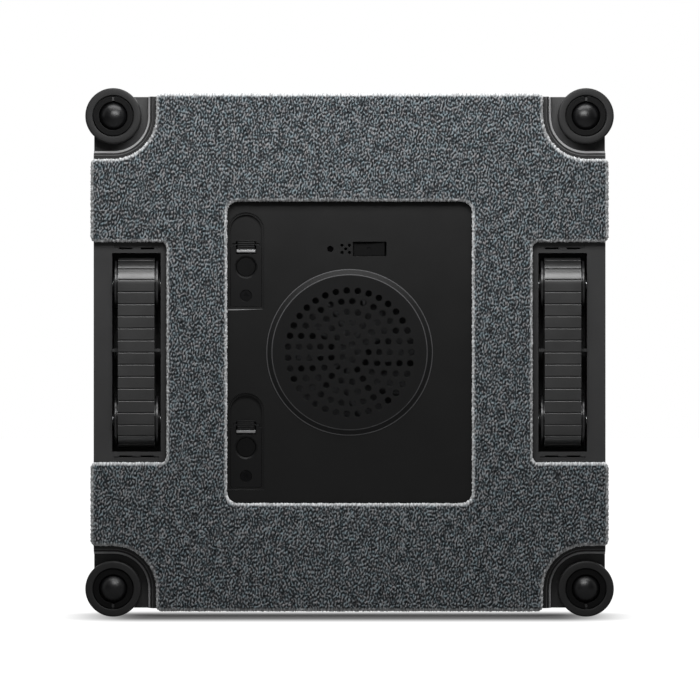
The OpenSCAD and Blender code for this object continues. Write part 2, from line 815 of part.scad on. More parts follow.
// Recess, finger scoop, lever room, pin groove, button bore and screw hole of each latch.
module latch_cuts() {
    for (level = [lower, upper]) {
        along_y(panel_y - over, latch_face_y) at_latch(level) latch_outline(0);
        along_y(panel_y, latch_seat_y) at_latch(level) latch_outline(scoop_ledge);
        along_y(latch_seat_y - over, lever_room_y) at_latch(level)
            translate([-lever_room_w / 2, lever_room_low])
                square([lever_room_w, lever_room_high - lever_room_low]);
        along_y(latch_seat_y - over, latch_hinge_y) at_latch(level) translate([0, lever_hinge_z])
            square([2 * latch_pin_half, 2 * (latch_pin_r + run_gap)], center = true);
        latch_solid(level) along_x(-latch_pin_half, latch_pin_half)
            translate([latch_hinge_y, lever_hinge_z]) circle(latch_pin_r + run_gap);
        along_y(latch_seat_y - over, button_room_y) at_latch(level)
            translate([0, -latch_button_down]) circle(button_room_r);
        along_y(latch_seat_y - over, latch_face_y + latch_screw_l) at_latch(level)
            translate([0, -latch_screw_down]) circle(latch_screw_r + run_gap);
    }
}

module case_screw_cuts() {
    along_y(landing_y - over, landing_y + case_screw_head_d) case_screw_places()
        circle(case_screw_head_r + fit_gap);
    along_y(landing_y, split_y + over) case_screw_places() circle(case_screw_r + fit_gap);
}

module screws() {
    color("#8b8e92") {
        along_y(landing_y, landing_y + case_screw_head_d) case_screw_places() difference() {
            circle(case_screw_head_r);
            square(case_screw_r * 0.8, center = true);
        }
        along_y(landing_y + case_screw_head_d * 0.6, split_y + case_screw_grip) case_screw_places()
            circle(case_screw_r);
        for (level = [lower, upper]) {
            along_y(latch_face_y + fit_gap, latch_face_y + latch_plate_t * 0.6) at_latch(level)
                translate([0, -latch_screw_down]) difference() {
                    circle(latch_screw_head_r);
                    for (turn = [0, 90]) rotate(turn)
                        square([latch_screw_head_r, latch_screw_head_r / 4], center = true);
                }
            along_y(latch_face_y + latch_plate_t * 0.35, latch_face_y + latch_screw_l) at_latch(level)
                translate([0, -latch_screw_down]) circle(latch_screw_r);
        }
    }
}

function holes_in(ring) = grille_first_holes + ring * grille_more_holes;

// Raised disc with a bevelled rim, rings of holes and a collar that sits in the panel.
module fan_grille() {
    collar_r = fan_hole_r - fit_gap;
    collar_in = collar_r - grille_t;
    color("#27282a") difference() {
        rotate([-90, 0, 0]) rotate_extrude() polygon([
            [0, grille_y], [grille_face_r, grille_y], [grille_face_r, grille_y + grille_lip],
            [grille_rim_r, panel_y - grille_lip], [grille_rim_r, panel_y], [collar_r, panel_y],
            [collar_r, slab_y], [collar_in, slab_y], [collar_in, grille_y + grille_t],
            [0, grille_y + grille_t]
        ]);
        along_y(grille_y - over, grille_y + grille_t + over)
            for (ring = [0 : grille_rings - 1])
                for (hole = [1 : holes_in(ring)])
                    rotate(hole * 360 / holes_in(ring))
                        translate([grille_first_r + ring * grille_ring_pitch, 0]) circle(grille_hole_r);
    }
}

module fan_seal() {
    color("#3a3b3d") along_y(slab_y, fan_housing_y) difference() {
        circle(fan_housing_r);
        circle(fan_housing_r - seal_w);
    }
}

module fan_housing() {
    color("#55595d") difference() {
        along_y(fan_housing_y, fan_back_y) circle(fan_housing_r);
        along_y(fan_housing_y - over, fan_back_y - fan_housing_t) circle(fan_housing_r - fan_housing_t);
        along_y(fan_back_y - fan_housing_t - over, fan_back_y + over) circle(3 * fan_shaft_r);
        along_y(impeller_back_y - blade_d / 2, fan_back_y - 2 * fan_housing_t)
            for (outlet = [0 : fan_outlets - 1]) rotate(outlet * 360 / fan_outlets)
                translate([fan_housing_r - 2 * fan_housing_t, -fan_housing_r / 4])
                    square([3 * fan_housing_t, fan_housing_r / 2]);
    }
}

module impeller() {
    color("#9a9da0") difference() {
        union() {
            along_y(impeller_back_y, impeller_back_y + impeller_plate_t) circle(impeller_r);
            along_y(fan_shaft_front_y, impeller_back_y) circle(impeller_hub_r);
            along_y(blade_y, impeller_back_y) intersection() {
                difference() {
                    circle(impeller_r);
                    circle(impeller_hub_r - blade_t);
                }
                for (blade = [0 : blade_count - 1]) rotate(blade * 360 / blade_count) impeller_blade();
            }
        }
        along_y(fan_shaft_front_y - over, impeller_back_y + impeller_plate_t + over) circle(fan_shaft_r);
    }
}

// One blade, as a strip of a ring that sweeps from the hub to the rim.
module impeller_blade() {
    sweep_r = impeller_r * 0.7;
    intersection() {
        translate([sweep_r * 0.75, sweep_r * 0.8]) difference() {
            circle(sweep_r);
            circle(sweep_r - blade_t);
        }
        translate([0, -impeller_r / 2]) square(impeller_r);
    }
}

module fan_shaft() {
    color("silver") along_y(fan_shaft_front_y, fan_back_y + motor_bore_l - fit_gap) circle(fan_shaft_r);
}

module suction_motor() {
    color("#83868a") difference() {
        union() {
            along_y(fan_back_y, fan_back_y + suction_motor_l) circle(suction_motor_r);
            along_y(fan_back_y - fan_housing_t, fan_back_y) circle(3 * fan_shaft_r - fit_gap);
        }
        along_y(fan_back_y - fan_housing_t - over, fan_back_y + motor_bore_l) circle(fan_shaft_r + run_gap);
    }
}

module lamp_lens() {
    color("#7fb8d8") translate([-lamp_hole_x, 0, switch_row_z]) {
        along_y(panel_y + lamp_hole_r, slab_y) circle(lamp_hole_r - fit_gap);
        along_y(slab_y, slab_y + lamp_hole_r) circle(lamp_flange_r);
    }
}

module buzzer() {
    color("#1a1a1c") difference() {
        along_y(slab_y, slab_y + buzzer_d) translate([buzzer_right - buzzer_w, switch_row_z - buzzer_w / 2])
            square(buzzer_w);
        along_y(slab_y - over, slab_y + buzzer_d / 2) translate([-sound_hole_x, switch_row_z])
            circle(sound_hole_pitch);
    }
}

module switch_frame() {
    half_h = switch_h / 2 + switch_wall_t;
    color("#202123") difference() {
        along_y(slab_y, switch_frame_y) translate([switch_x, switch_row_z])
            square([switch_w + 2 * switch_wall_t, 2 * half_h], center = true);
        along_y(slab_y - over, switch_frame_y - switch_wall_t) translate([switch_x, switch_row_z])
            square([switch_w, switch_h], center = true);
        along_z(switch_row_z - half_h - over, switch_row_z + half_h + over)
            translate([switch_x, rocker_axis_y]) circle(rocker_pin_r + run_gap);
    }
}

// Rocker with two faces that meet at its middle, tilted to its off position.
module power_rocker() {
    dip = rocker_half * tan(rocker_tilt);
    low_z = switch_row_z - switch_h / 2;
    high_z = switch_row_z + switch_h / 2;
    color("#17181a") translate([switch_x, rocker_axis_y, 0]) rotate([0, 0, -rocker_tilt])
        translate([0, -rocker_axis_y, 0]) difference() {
            union() {
                along_z(low_z + 2 * fit_gap, high_z - 2 * fit_gap) polygon([
                    [-rocker_half, rocker_front_y], [0, rocker_front_y + dip], [rocker_half, rocker_front_y],
                    [rocker_half - rocker_pin_r, rocker_front_y + rocker_d],
                    [-rocker_half + rocker_pin_r, rocker_front_y + rocker_d]
                ]);
                along_z(low_z - switch_wall_t, high_z + switch_wall_t)
                    translate([0, rocker_axis_y]) circle(rocker_pin_r);
            }
            along_y(rocker_front_y - over, rocker_front_y + dip + rocker_pin_r / 2)
                translate([0, switch_row_z]) circle(rocker_pin_r);
        }
}

// Trough behind a well, with bearings for both axles and the bar between the belt's runs.
module track_housing(side) {
    bar_front_y = contact_set + belt_t + carrier_margin;
    bar_back_y = belt_axis_y + belt_inner_r - carrier_margin;
    color("#242527") translate([side * track_x, 0, 0]) {
        difference() {
            along_y(slab_y, housing_floor_y + housing_t)
                square([2 * housing_half_w, well_h + 2 * housing_t], center = true);
            along_y(slab_y - over, housing_floor_y) square([well_w, well_h], center = true);
            along_x(-housing_half_w - over, housing_half_w + over)
                for (end = [lower, upper]) translate([belt_axis_y, end * wheel_z])
                    circle(axle_r + run_gap);
        }
        translate([0, 0, carrier_bar_z]) {
            along_y(bar_front_y, bar_back_y)
                square([well_w - 2 * fit_gap, carrier_bar_h], center = true);
            along_y(slab_y, bar_back_y) square([well_w + housing_t, carrier_bar_h], center = true);
        }
    }
}

// Closed loop of a belt in side view, round both wheels.
module belt_loop(r) {
    translate([belt_axis_y, 0]) {
        square([2 * r, wheel_span], center = true);
        for (end = [lower, upper]) translate([0, end * wheel_z]) circle(r);
    }
}

// Place and turn on the belt's outside at a distance from the middle of the front run.
module on_belt(travelled) {
    arc_l = PI * belt_r;
    turned_top = (travelled - wheel_z) / arc_l * 180;
    turned_low = (travelled - wheel_z - arc_l - wheel_span) / arc_l * 180;
    if (travelled < wheel_z)
        translate([belt_axis_y, travelled]) translate([-belt_r, 0]) children();
    else if (travelled < wheel_z + arc_l)
        translate([belt_axis_y, wheel_z]) rotate(-turned_top) translate([-belt_r, 0]) children();
    else if (travelled < wheel_z + arc_l + wheel_span)
        translate([belt_axis_y, wheel_z + arc_l + wheel_z - travelled + wheel_z]) translate([belt_r, 0])
            children();
    else if (travelled < wheel_z + 2 * arc_l + wheel_span)
        translate([belt_axis_y, -wheel_z]) rotate(180 - turned_low) translate([-belt_r, 0]) children();
    else
        translate([belt_axis_y, travelled - belt_loop_l]) translate([-belt_r, 0]) children();
}

module track_belt(side) {
    color("#1e1f21") translate([side * track_x, 0, 0]) along_x(-belt_w / 2, belt_w / 2) difference() {
        belt_loop(belt_r);
        belt_loop(belt_inner_r);
        for (groove = [0 : groove_count - 1]) on_belt(groove * groove_step)
            square([2 * groove_d, groove_w], center = true);
    }
}

// Flanged wheel with hub ends that keep it in the middle of its well.
module track_wheel(side, end, bore_r) {
    hub_half = well_w / 2 - wheel_play;
    rim_r = (flange_r + belt_inner_r) / 2;
    color("#2c2d30") translate([side * track_x, 0, 0]) difference() {
        union() {
            along_x(-flange_x, flange_x) translate([belt_axis_y, end * wheel_z]) circle(wheel_r);
            for (sx = [left, right])
                along_x(sx * flange_x, sx * (flange_x + flange_t))
                    translate([belt_axis_y, end * wheel_z]) circle(flange_r);
            along_x(-hub_half, hub_half) translate([belt_axis_y, end * wheel_z]) circle(2 * axle_r);
        }
        along_x(-hub_half - over, hub_half + over) translate([belt_axis_y, end * wheel_z]) circle(bore_r);
        for (sx = [left, right])
            along_x(sx * (flange_x + flange_t / 2), sx * (flange_x + flange_t + over))
                translate([belt_axis_y, end * wheel_z]) difference() {
                    circle(rim_r - flange_t);
                    circle(2 * axle_r + flange_t);
                }
    }
}

// Involute of an angle in degrees, as degrees.
function involute(angle) = tan(angle) * 180 / PI - angle;

// Half the angle that a tooth takes at a radius.
function tooth_half_angle(pitch_r, teeth, r) =
    90 / teeth * tooth_share + involute(pressure_angle)
        - involute(acos(min(1, pitch_r * cos(pressure_angle) / r)));

// Points of one tooth flank from its root to its top, as radius and half angle.
function flank(pitch_r, teeth) = [
    for (step = [0 : flank_steps])
        let (low = max(pitch_r * cos(pressure_angle), pitch_r - tooth_root))
            let (r = low + (pitch_r + tooth_top - low) * step / flank_steps)
                [r, tooth_half_angle(pitch_r, teeth, r)]
];

// Gear in side view about its own middle, with a tooth along its first axis.
module gear_outline(pitch_r, teeth) {
    rise = flank(pitch_r, teeth);
    root_r = pitch_r - tooth_root;
    polygon([
        for (tooth = [0 : teeth - 1])
            let (middle = tooth * 360 / teeth)
                for (point = concat(
                    [[root_r, -rise[0][1]]],
                    [for (p = rise) [p[0], -p[1]]],
                    [for (back = [flank_steps : -1 : 0]) rise[back]],
                    [[root_r, rise[0][1]]]
                )) [point[0] * cos(middle + point[1]), point[0] * sin(middle + point[1])]
    ]);
}

module drive_shaft(side) {
    color("#b8bbbe") {
        along_x(side * gear_in_x, side * (track_x + housing_half_w - fit_gap))
            translate([belt_axis_y, -wheel_z]) circle(axle_r);
        along_x(side * gear_in_x, side * gear_out_x)
            translate([belt_axis_y, -wheel_z]) gear_outline(shaft_gear_r, shaft_teeth);
    }
}

module motor_gear(side) {
    color("#c2a15a") {
        along_x(side * gear_in_x, side * gear_out_x) translate([output_y, -wheel_z])
            rotate(180 + 180 / motor_teeth) gear_outline(motor_gear_r, motor_teeth);
        along_x(side * (gearbox_out_x - output_l), side * gear_out_x) translate([output_y, -wheel_z])
            circle(output_r);
    }
}

module gearboxes() {
    color("#3b3d40") for (side = [left, right]) difference() {
        along_x(side * gearbox_in_x, side * gearbox_out_x)
            translate([gearbox_y - gearbox_d / 2, gearbox_top_z - gearbox_h]) square([gearbox_d, gearbox_h]);
        along_x(side * (gearbox_out_x - output_l - fit_gap), side * (gearbox_out_x + over))
            translate([output_y, -wheel_z]) circle(output_r + run_gap);
    }
}

module drive_motors() {
    color("#a4a7aa") for (side = [left, right]) {
        along_x(side * (gearbox_in_x - drive_motor_l), side * gearbox_in_x)
            translate([gearbox_y, drive_motor_z]) circle(drive_motor_r);
        along_x(side * (gearbox_in_x - drive_motor_l - axle_r / 2), side * (gearbox_in_x - drive_motor_l))
            translate([gearbox_y, drive_motor_z]) circle(axle_r);
    }
}

module idler_axles() {
    color("#b8bbbe") for (side = [left, right])
        along_x(side * (track_x - housing_half_w), side * (track_x + housing_half_w))
            translate([belt_axis_y, wheel_z]) circle(axle_r);
}

// Annular roller with a seat for its retaining ring.
module side_roller(side, level) {
    shoulder_y = post_front_y + roller_play;
    bore_r = post_r + run_gap;
    seat_r = retainer_r + roller_play;
    color("#313235") translate([side * roller_at, 0, level * roller_at]) rotate([-90, 0, 0])
        rotate_extrude() polygon([
            [bore_r, shoulder_y], [seat_r, shoulder_y], [seat_r, roller_set],
            [roller_r - roller_chamfer, roller_set], [roller_r, roller_set + roller_chamfer],
            [roller_r, roller_back_y - roller_chamfer], [roller_r - roller_chamfer, roller_back_y],
            [bore_r, roller_back_y]
        ]);
}

// Plunger with a domed nose that touches the glass.
module edge_plunger(side, level) {
    dome_y = contact_set + plunger_r;
    color("#18191b") translate([side * roller_at, 0, level * roller_at]) rotate([-90, 0, 0])
        rotate_extrude() {
            intersection() {
                translate([0, dome_y]) circle(plunger_r);
                square([plunger_r, dome_y]);
            }
            translate([0, dome_y]) square([plunger_r, plunger_back_y - dome_y]);
        }
}

module retaining_rings() {
    color("#2f3033") for (sx = [left, right], level = [lower, upper])
        along_y(retainer_y, post_front_y) translate([sx * roller_at, level * roller_at]) difference() {
            circle(retainer_r);
            circle(retainer_inner_r);
            translate([-retainer_slit / 2, level > 0 ? 0 : -retainer_r - over])
                square([retainer_slit, retainer_r + over]);
        }
}

// Springs under the plungers and behind the latch buttons.
module return_springs() {
    color("#c7c9cb") {
        for (sx = [left, right], level = [lower, upper])
            along_y(plunger_back_y, spring_seat_y) translate([sx * roller_at, level * roller_at])
                spring_ring(spring_r);
        for (level = [lower, upper])
            along_y(latch_button_back_y, button_room_y) at_latch(level)
                translate([0, -latch_button_down]) spring_ring(latch_button_r * 0.8);
    }
}

module spring_ring(r) {
    difference() {
        circle(r);
        circle(r - 2 * spring_wire_r);
    }
}

// Plates screwed over the latches, notched round the levers and beside the hinge pins.
module latch_plates() {
    top_z = lever_hinge_z - fit_gap;
    hole_r = latch_button_r + fit_gap;
    dish_depth = latch_plate_t / 3;
    color("#2b2c2e") for (level = [lower, upper]) difference() {
        along_y(latch_face_y, latch_seat_y) at_latch(level) difference() {
            intersection() {
                latch_outline(scoop_ledge + fit_gap);
                translate([-latch_w / 2, -latch_h / 2]) square([latch_w, latch_h / 2 + top_z]);
            }
            translate([-lever_room_w / 2, lever_room_low]) square([lever_room_w, latch_h]);
            for (sx = [left, right])
                translate([sx * (lever_room_w / 2 + latch_notch_w), top_z])
                    square([latch_notch_w, 2 * latch_pin_r], center = true);
            translate([0, -latch_button_down]) circle(hole_r);
            translate([0, -latch_screw_down]) circle(latch_screw_r + run_gap);
        }
        latch_solid(level) translate([0, latch_face_y, -latch_button_down]) rotate([-90, 0, 0])
            cylinder(h = dish_depth, r1 = latch_dish_r, r2 = hole_r);
        along_y(latch_face_y - over, latch_face_y + latch_plate_t * 0.6) at_latch(level)
            translate([0, -latch_screw_down]) circle(latch_screw_head_r + fit_gap);
    }
}

module latch_pins() {
    color("silver") for (level = [lower, upper]) latch_solid(level)
        along_x(-latch_pin_half + fit_gap, latch_pin_half - fit_gap)
            translate([latch_hinge_y, lever_hinge_z]) circle(latch_pin_r);
}

// Rocking lever with grip grooves, pinned in the recess.
module latch_lever(level) {
    low = lever_hinge_z - lever_down;
    high = lever_hinge_z + lever_up;
    groove_step_z = (lever_up + lever_down) / (grip_grooves + 1);
    color("#2d2e30") latch_solid(level) along_x(-lever_w / 2, lever_w / 2) difference() {
        union() {
            translate([lever_front_y, low]) square([lever_back_y - lever_front_y, high - low]);
            translate([lever_back_y - fit_gap, lever_hinge_z - lever_barrel_r])
                square([latch_hinge_y - lever_back_y + fit_gap, 2 * lever_barrel_r]);
            translate([latch_hinge_y, lever_hinge_z]) circle(lever_barrel_r);
        }
        translate([latch_hinge_y, lever_hinge_z]) circle(latch_pin_r + run_gap);
        for (groove = [1 : grip_grooves]) translate([lever_front_y, low + groove * groove_step_z])
            square([2 * grip_groove, grip_groove], center = true);
    }
}

module latch_bar(level) {
    color("#d4d6d8") latch_solid(level)
        along_x(-lever_w / 2 - latch_bar_over, lever_w / 2 + latch_bar_over)
            translate([latch_bar_y, latch_bar_top - latch_bar_h]) square([latch_bar_d, latch_bar_h]);
}

module latch_button(level) {
    color("#202123") {
        along_y(latch_button_y, latch_button_back_y) at_latch(level)
            translate([0, -latch_button_down]) circle(latch_button_r);
        along_y(latch_seat_y, latch_seat_y + latch_button_travel) at_latch(level)
            translate([0, -latch_button_down]) circle(latch_flange_r);
    }
}

// Side view of the rear cover, drawn in by an inset, with its rear edges rounded.
module cover_profile(inset) {
    half = half_w - inset;
    r = cover_edge_r - inset;
    back = rear_y - inset;
    translate([split_y, -half]) square([back - r - split_y, 2 * half]);
    translate([split_y, -half + r]) square([back - split_y, 2 * (half - r)]);
    for (sz = [lower, upper]) translate([back - r, sz * (half - r)]) circle(r);
}

module cover_block(inset) {
    intersection() {
        along_y(split_y, rear_y) casing_outline(inset);
        along_x(-half_w, half_w) cover_profile(inset);
        along_z(-half_w, half_w) rotate(90) mirror([0, 1]) cover_profile(inset);
    }
}

module vent_places() {
    for (sx = [left, right]) translate([sx * vent_x, 0]) children();
}

// Rear shell with the hollow under the handle, screw posts, windows and the tether lug.
module top_cover() {
    color("#2b2d30") difference() {
        union() {
            difference() {
                cover_block(0);
                cover_block(cover_wall_t);
            }
            along_y(dish_y - cover_wall_t, rear_y - cover_wall_t / 2) circle(dish_r + cover_wall_t);
            along_y(split_y, rear_y - cover_wall_t / 2) case_screw_places() circle(screw_post_r);
            translate([-fitting_x, 0, fitting_up]) along_x(-tether_lug_w / 2, tether_lug_w / 2) {
                translate([tether_axis_y, 0]) circle(tether_lug_r);
                translate([rear_y - cover_wall_t / 2, -tether_lug_r])
                    square([tether_axis_y - rear_y + cover_wall_t / 2, 2 * tether_lug_r]);
            }
        }
        along_y(dish_y, rear_y + over) circle(dish_r);
        along_y(split_y - over, split_y + case_screw_grip + fit_gap) case_screw_places()
            circle(case_screw_r + run_gap);
        along_y(rear_y - cover_wall_t - over, rear_y + over) {
            vent_places() rounded_rect(vent_w, vent_h, vent_r);
            translate([0, -start_down]) circle(start_r + fit_gap);
            translate([fitting_x, fitting_up]) circle(gland_stem_r + fit_gap);
        }
        along_y(rear_y - light_ring_d, rear_y + over) translate([0, -start_down]) difference() {
            circle(light_ring_out);
            circle(light_ring_in);
        }
        along_y(rear_y - light_ring_d, rear_y + over) translate([0, receiver_up])
            rounded_rect(receiver_w, receiver_h, receiver_h / 4);
        translate([-fitting_x, 0, fitting_up])
            along_x(-tether_lug_w / 2 - over, tether_lug_w / 2 + over)
                translate([tether_axis_y, 0]) circle(tether_wire_r + run_gap);
    }
}

module handle() {
    inner_l = handle_l - 2 * handle_foot;
    inner_rise = handle_rise - handle_t;
    inner_r = min(handle_r - handle_t / 2, inner_rise * 0.9);
    color("#303235") difference() {
        intersection() {
            along_z(-handle_w / 2, handle_w / 2) difference() {
                intersection() {
                    translate([0, rear_y]) rounded_rect(handle_l, 2 * handle_rise, handle_r);
                    translate([-handle_l / 2, rear_y]) square([handle_l, handle_rise]);
                }
                translate([0, rear_y]) rounded_rect(inner_l, 2 * inner_rise, inner_r);
            }
            along_x(-handle_l / 2, handle_l / 2) translate([rear_y, 0])
                rounded_rect(2 * handle_rise, handle_w, handle_edge_r);
        }
        along_y(rear_y + handle_rise - grip_seat, rear_y + handle_rise + over)
            rounded_rect(grip_l, grip_w, grip_w * 0.4);
    }
}

module handle_grip() {
    color("#1b1c1e") along_y(rear_y + handle_rise - grip_seat, rear_y + handle_rise + grip_rise)
        rounded_rect(grip_l - 2 * fit_gap, grip_w - 2 * fit_gap, grip_w * 0.4 - fit_gap);
}

module light_ring() {
    color("#b9dff0") along_y(rear_y - light_ring_d, rear_y) translate([0, -start_down]) difference() {
        circle(light_ring_out - fit_gap);
        circle(light_ring_in + fit_gap);
    }
}

module start_button() {
    color("#e4e6e8") {
        along_y(rear_y - cover_wall_t, rear_y + start_rise) translate([0, -start_down]) circle(start_r);
        along_y(rear_y - 2 * cover_wall_t, rear_y - cover_wall_t) translate([0, -start_down])
            circle(start_r + start_flange);
    }
}

module receiver_window() {
    color("#0d0d10") along_y(rear_y - light_ring_d, rear_y + fit_gap) translate([0, receiver_up])
        rounded_rect(receiver_w - 2 * fit_gap, receiver_h - 2 * fit_gap, receiver_h / 4 - fit_gap);
}

// Louvred inserts with a flange behind the cover's rear wall.
module vent_grilles() {
    low_z = -(vent_slots - 1) * vent_pitch / 2;
    color("#222326") difference() {
        union() {
            along_y(rear_y - cover_wall_t, rear_y) vent_places()
                rounded_rect(vent_w - 2 * fit_gap, vent_h - 2 * fit_gap, vent_r - fit_gap);
            along_y(rear_y - cover_wall_t - vent_flange_t, rear_y - cover_wall_t) vent_places()
                rounded_rect(vent_w + 2 * vent_flange, vent_h + 2 * vent_flange, vent_r + vent_flange);
        }
        along_y(rear_y - 2 * cover_wall_t - over, rear_y + over) vent_places()
            for (slot = [0 : vent_slots - 1]) translate([0, low_z + slot * vent_pitch])
                rounded_rect(vent_w - 2 * vent_margin, vent_slot_h, vent_slot_h * 0.49);
    }
}

module cord_gland() {
    color("#1d1e20") difference() {
        union() {
            along_y(rear_y, rear_y + gland_rise) translate([fitting_x, fitting_up]) circle(gland_r);
            along_y(rear_y - cover_wall_t - gland_nut_t, rear_y) translate([fitting_x, fitting_up])
                circle(gland_stem_r);
            along_y(rear_y - cover_wall_t - gland_nut_t, rear_y - cover_wall_t)
                translate([fitting_x, fitting_up]) circle(gland_r);
        }
        along_y(rear_y - cover_wall_t - gland_nut_t - over, rear_y + gland_rise + over)
            translate([fitting_x, fitting_up]) circle(gland_hole_r);
    }
}

// Closed wire eye that hangs from the lug.
module tether_eye() {
    half = tether_w / 2;
    color("#c9cbcd") translate([-fitting_x, 0, fitting_up]) {
        for (drop = [0, tether_h]) along_x(-half, half)
            translate([tether_axis_y, -drop]) circle(tether_wire_r);
        for (sx = [left, right]) {
            along_z(-tether_h, 0) translate([sx * half, tether_axis_y]) circle(tether_wire_r);
            for (drop = [0, tether_h]) translate([sx * half, tether_axis_y, -drop]) sphere(tether_wire_r);
        }
    }
}

// Tray with a floor against the base plate and low walls round the cells.
module battery_tray() {
    color("#34363a") difference() {
        along_y(slab_y, cell_y + cell_r / 2) translate([0, battery_up])
            square([tray_w, tray_h], center = true);
        along_y(slab_y + tray_t, cell_y + cell_r) translate([0, battery_up])
            square([tray_w - 2 * tray_t, tray_h - 2 * tray_t], center = true);
    }
}

module battery_cells() {
    nub_l = fit_gap;
    low_z = battery_up - (cell_count - 1) * cell_pitch / 2;
    color("#3f7f5a") for (cell = [0 : cell_count - 1])
        translate([0, cell_y, low_z + cell * cell_pitch]) rotate([0, 90, 0]) {
            cylinder(h = cell_l, r = cell_r, center = true);
            cylinder(h = cell_l + 2 * nub_l, r = cell_r / 3, center = true);
        }
}

// Circuit board with its larger parts.
module main_board() {
    chip = board_h / 4;
    color("#2f6b4a") {
        along_y(board_y, board_y + board_t) translate([0, -board_down])
            square([board_w, board_h], center = true);
        along_y(board_y, board_y + 2 * board_t) translate([0, -board_down]) square(chip, center = true);
        along_y(board_y, board_y + 5 * board_t) both_sides() translate([board_w / 3, -board_down])
            square([chip / 2, chip * 1.5], center = true);
        along_y(board_y, board_y + 6 * board_t) both_sides()
            translate([board_w / 5, -board_down - board_h / 4]) circle(chip / 3);
    }
}

base_plate();
fan_grille();
cleaning_pad();
pad_hook_tape();
top_cover();
handle();
handle_grip();
light_ring();
vent_grilles();
start_button();
receiver_window();
cord_gland();
tether_eye();
screws();
fan_seal();
fan_housing();
impeller();
fan_shaft();
suction_motor();
main_board();
battery_cells();
battery_tray();
buzzer();
lamp_lens();
switch_frame();
power_rocker();
track_housing(left);  // track_housing_left
track_housing(right);  // track_housing_right
track_belt(left);  // track_belt_left
track_belt(right);  // track_belt_right
track_wheel(left, lower, axle_r);  // drive_wheel_left
track_wheel(right, lower, axle_r);  // drive_wheel_right
drive_shaft(left);  // drive_shaft_left
drive_shaft(right);  // drive_shaft_right
motor_gear(left);  // motor_gear_left
motor_gear(right);  // motor_gear_right
gearboxes();
drive_motors();
track_wheel(left, upper, axle_r + run_gap);  // idler_wheel_left
track_wheel(right, upper, axle_r + run_gap);  // idler_wheel_right
idler_axles();
side_roller(left, upper);  // side_roller_upper_left
side_roller(right, upper);  // side_roller_upper_right
side_roller(left, lower);  // side_roller_lower_left
side_roller(right, lower);  // side_roller_lower_right
edge_plunger(left, upper);  // edge_plunger_upper_left
edge_plunger(right, upper);  // edge_plunger_upper_right
edge_plunger(left, lower);  // edge_plunger_lower_left
edge_plunger(right, lower);  // edge_plunger_lower_right
retaining_rings();
return_springs();
latch_plates();
latch_pins();
latch_lever(upper);  // latch_lever_upper
latch_lever(lower);  // latch_lever_lower
latch_bar(upper);  // latch_bar_upper
latch_bar(lower);  // latch_bar_lower
latch_button(upper);  // latch_button_upper
latch_button(lower);  // latch_button_lower
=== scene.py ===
"""Window cleaning robot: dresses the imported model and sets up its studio.

The frame is in metres: x to the right, y away from the glass, z up. The pad's face lies at y = 0.
"""

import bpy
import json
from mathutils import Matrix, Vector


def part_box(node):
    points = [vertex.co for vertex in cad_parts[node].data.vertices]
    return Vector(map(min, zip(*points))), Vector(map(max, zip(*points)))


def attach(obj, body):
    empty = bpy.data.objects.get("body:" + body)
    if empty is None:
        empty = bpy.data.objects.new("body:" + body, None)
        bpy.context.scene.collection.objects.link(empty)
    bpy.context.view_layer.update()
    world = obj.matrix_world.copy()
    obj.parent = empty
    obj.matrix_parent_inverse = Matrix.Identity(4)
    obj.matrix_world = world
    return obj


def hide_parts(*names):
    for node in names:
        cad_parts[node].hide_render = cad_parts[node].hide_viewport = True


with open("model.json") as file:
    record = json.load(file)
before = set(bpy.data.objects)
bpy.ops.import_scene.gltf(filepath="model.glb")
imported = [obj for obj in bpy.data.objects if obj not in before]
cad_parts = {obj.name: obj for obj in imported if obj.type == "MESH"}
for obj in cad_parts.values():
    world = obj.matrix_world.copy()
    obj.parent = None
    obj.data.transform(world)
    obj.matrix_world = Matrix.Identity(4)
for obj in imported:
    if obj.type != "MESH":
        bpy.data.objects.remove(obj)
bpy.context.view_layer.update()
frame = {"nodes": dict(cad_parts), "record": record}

import json
import logging
import math
from collections.abc import Callable
from dataclasses import dataclass
from enum import Enum

import bmesh
import bpy
import numpy as np
from mathutils import Matrix, Vector
from mathutils.kdtree import KDTree

LOG = logging.getLogger("robot")
MM = 0.001
WELD = 0.004 * MM
Point = tuple[float, float, float]
Colour = tuple[float, float, float]
Node = bpy.types.Node
Piece = bpy.types.Object


class Grain(Enum):
    """Surface pattern of a moulded finish."""

    FINE = "fine"
    CELLS = "cells"
    WEAVE = "weave"


class Lay(Enum):
    """Direction of the drawn or ground marks on a metal."""

    ACROSS = (0.05, 1.0, 1.0)
    UPRIGHT = (1.0, 1.0, 0.05)
    DEEP = (1.0, 0.05, 1.0)


class Half(Enum):
    """Half of the robot as a factor on an axis."""

    @property
    def word(self) -> str:
        """Name of the half in node names."""
        return self.name.lower()


class Side(Half):
    """Left and right half, on x."""

    LEFT = -1
    RIGHT = 1


class Level(Half):
    """Upper and lower half, on z."""

    UPPER = 1
    LOWER = -1


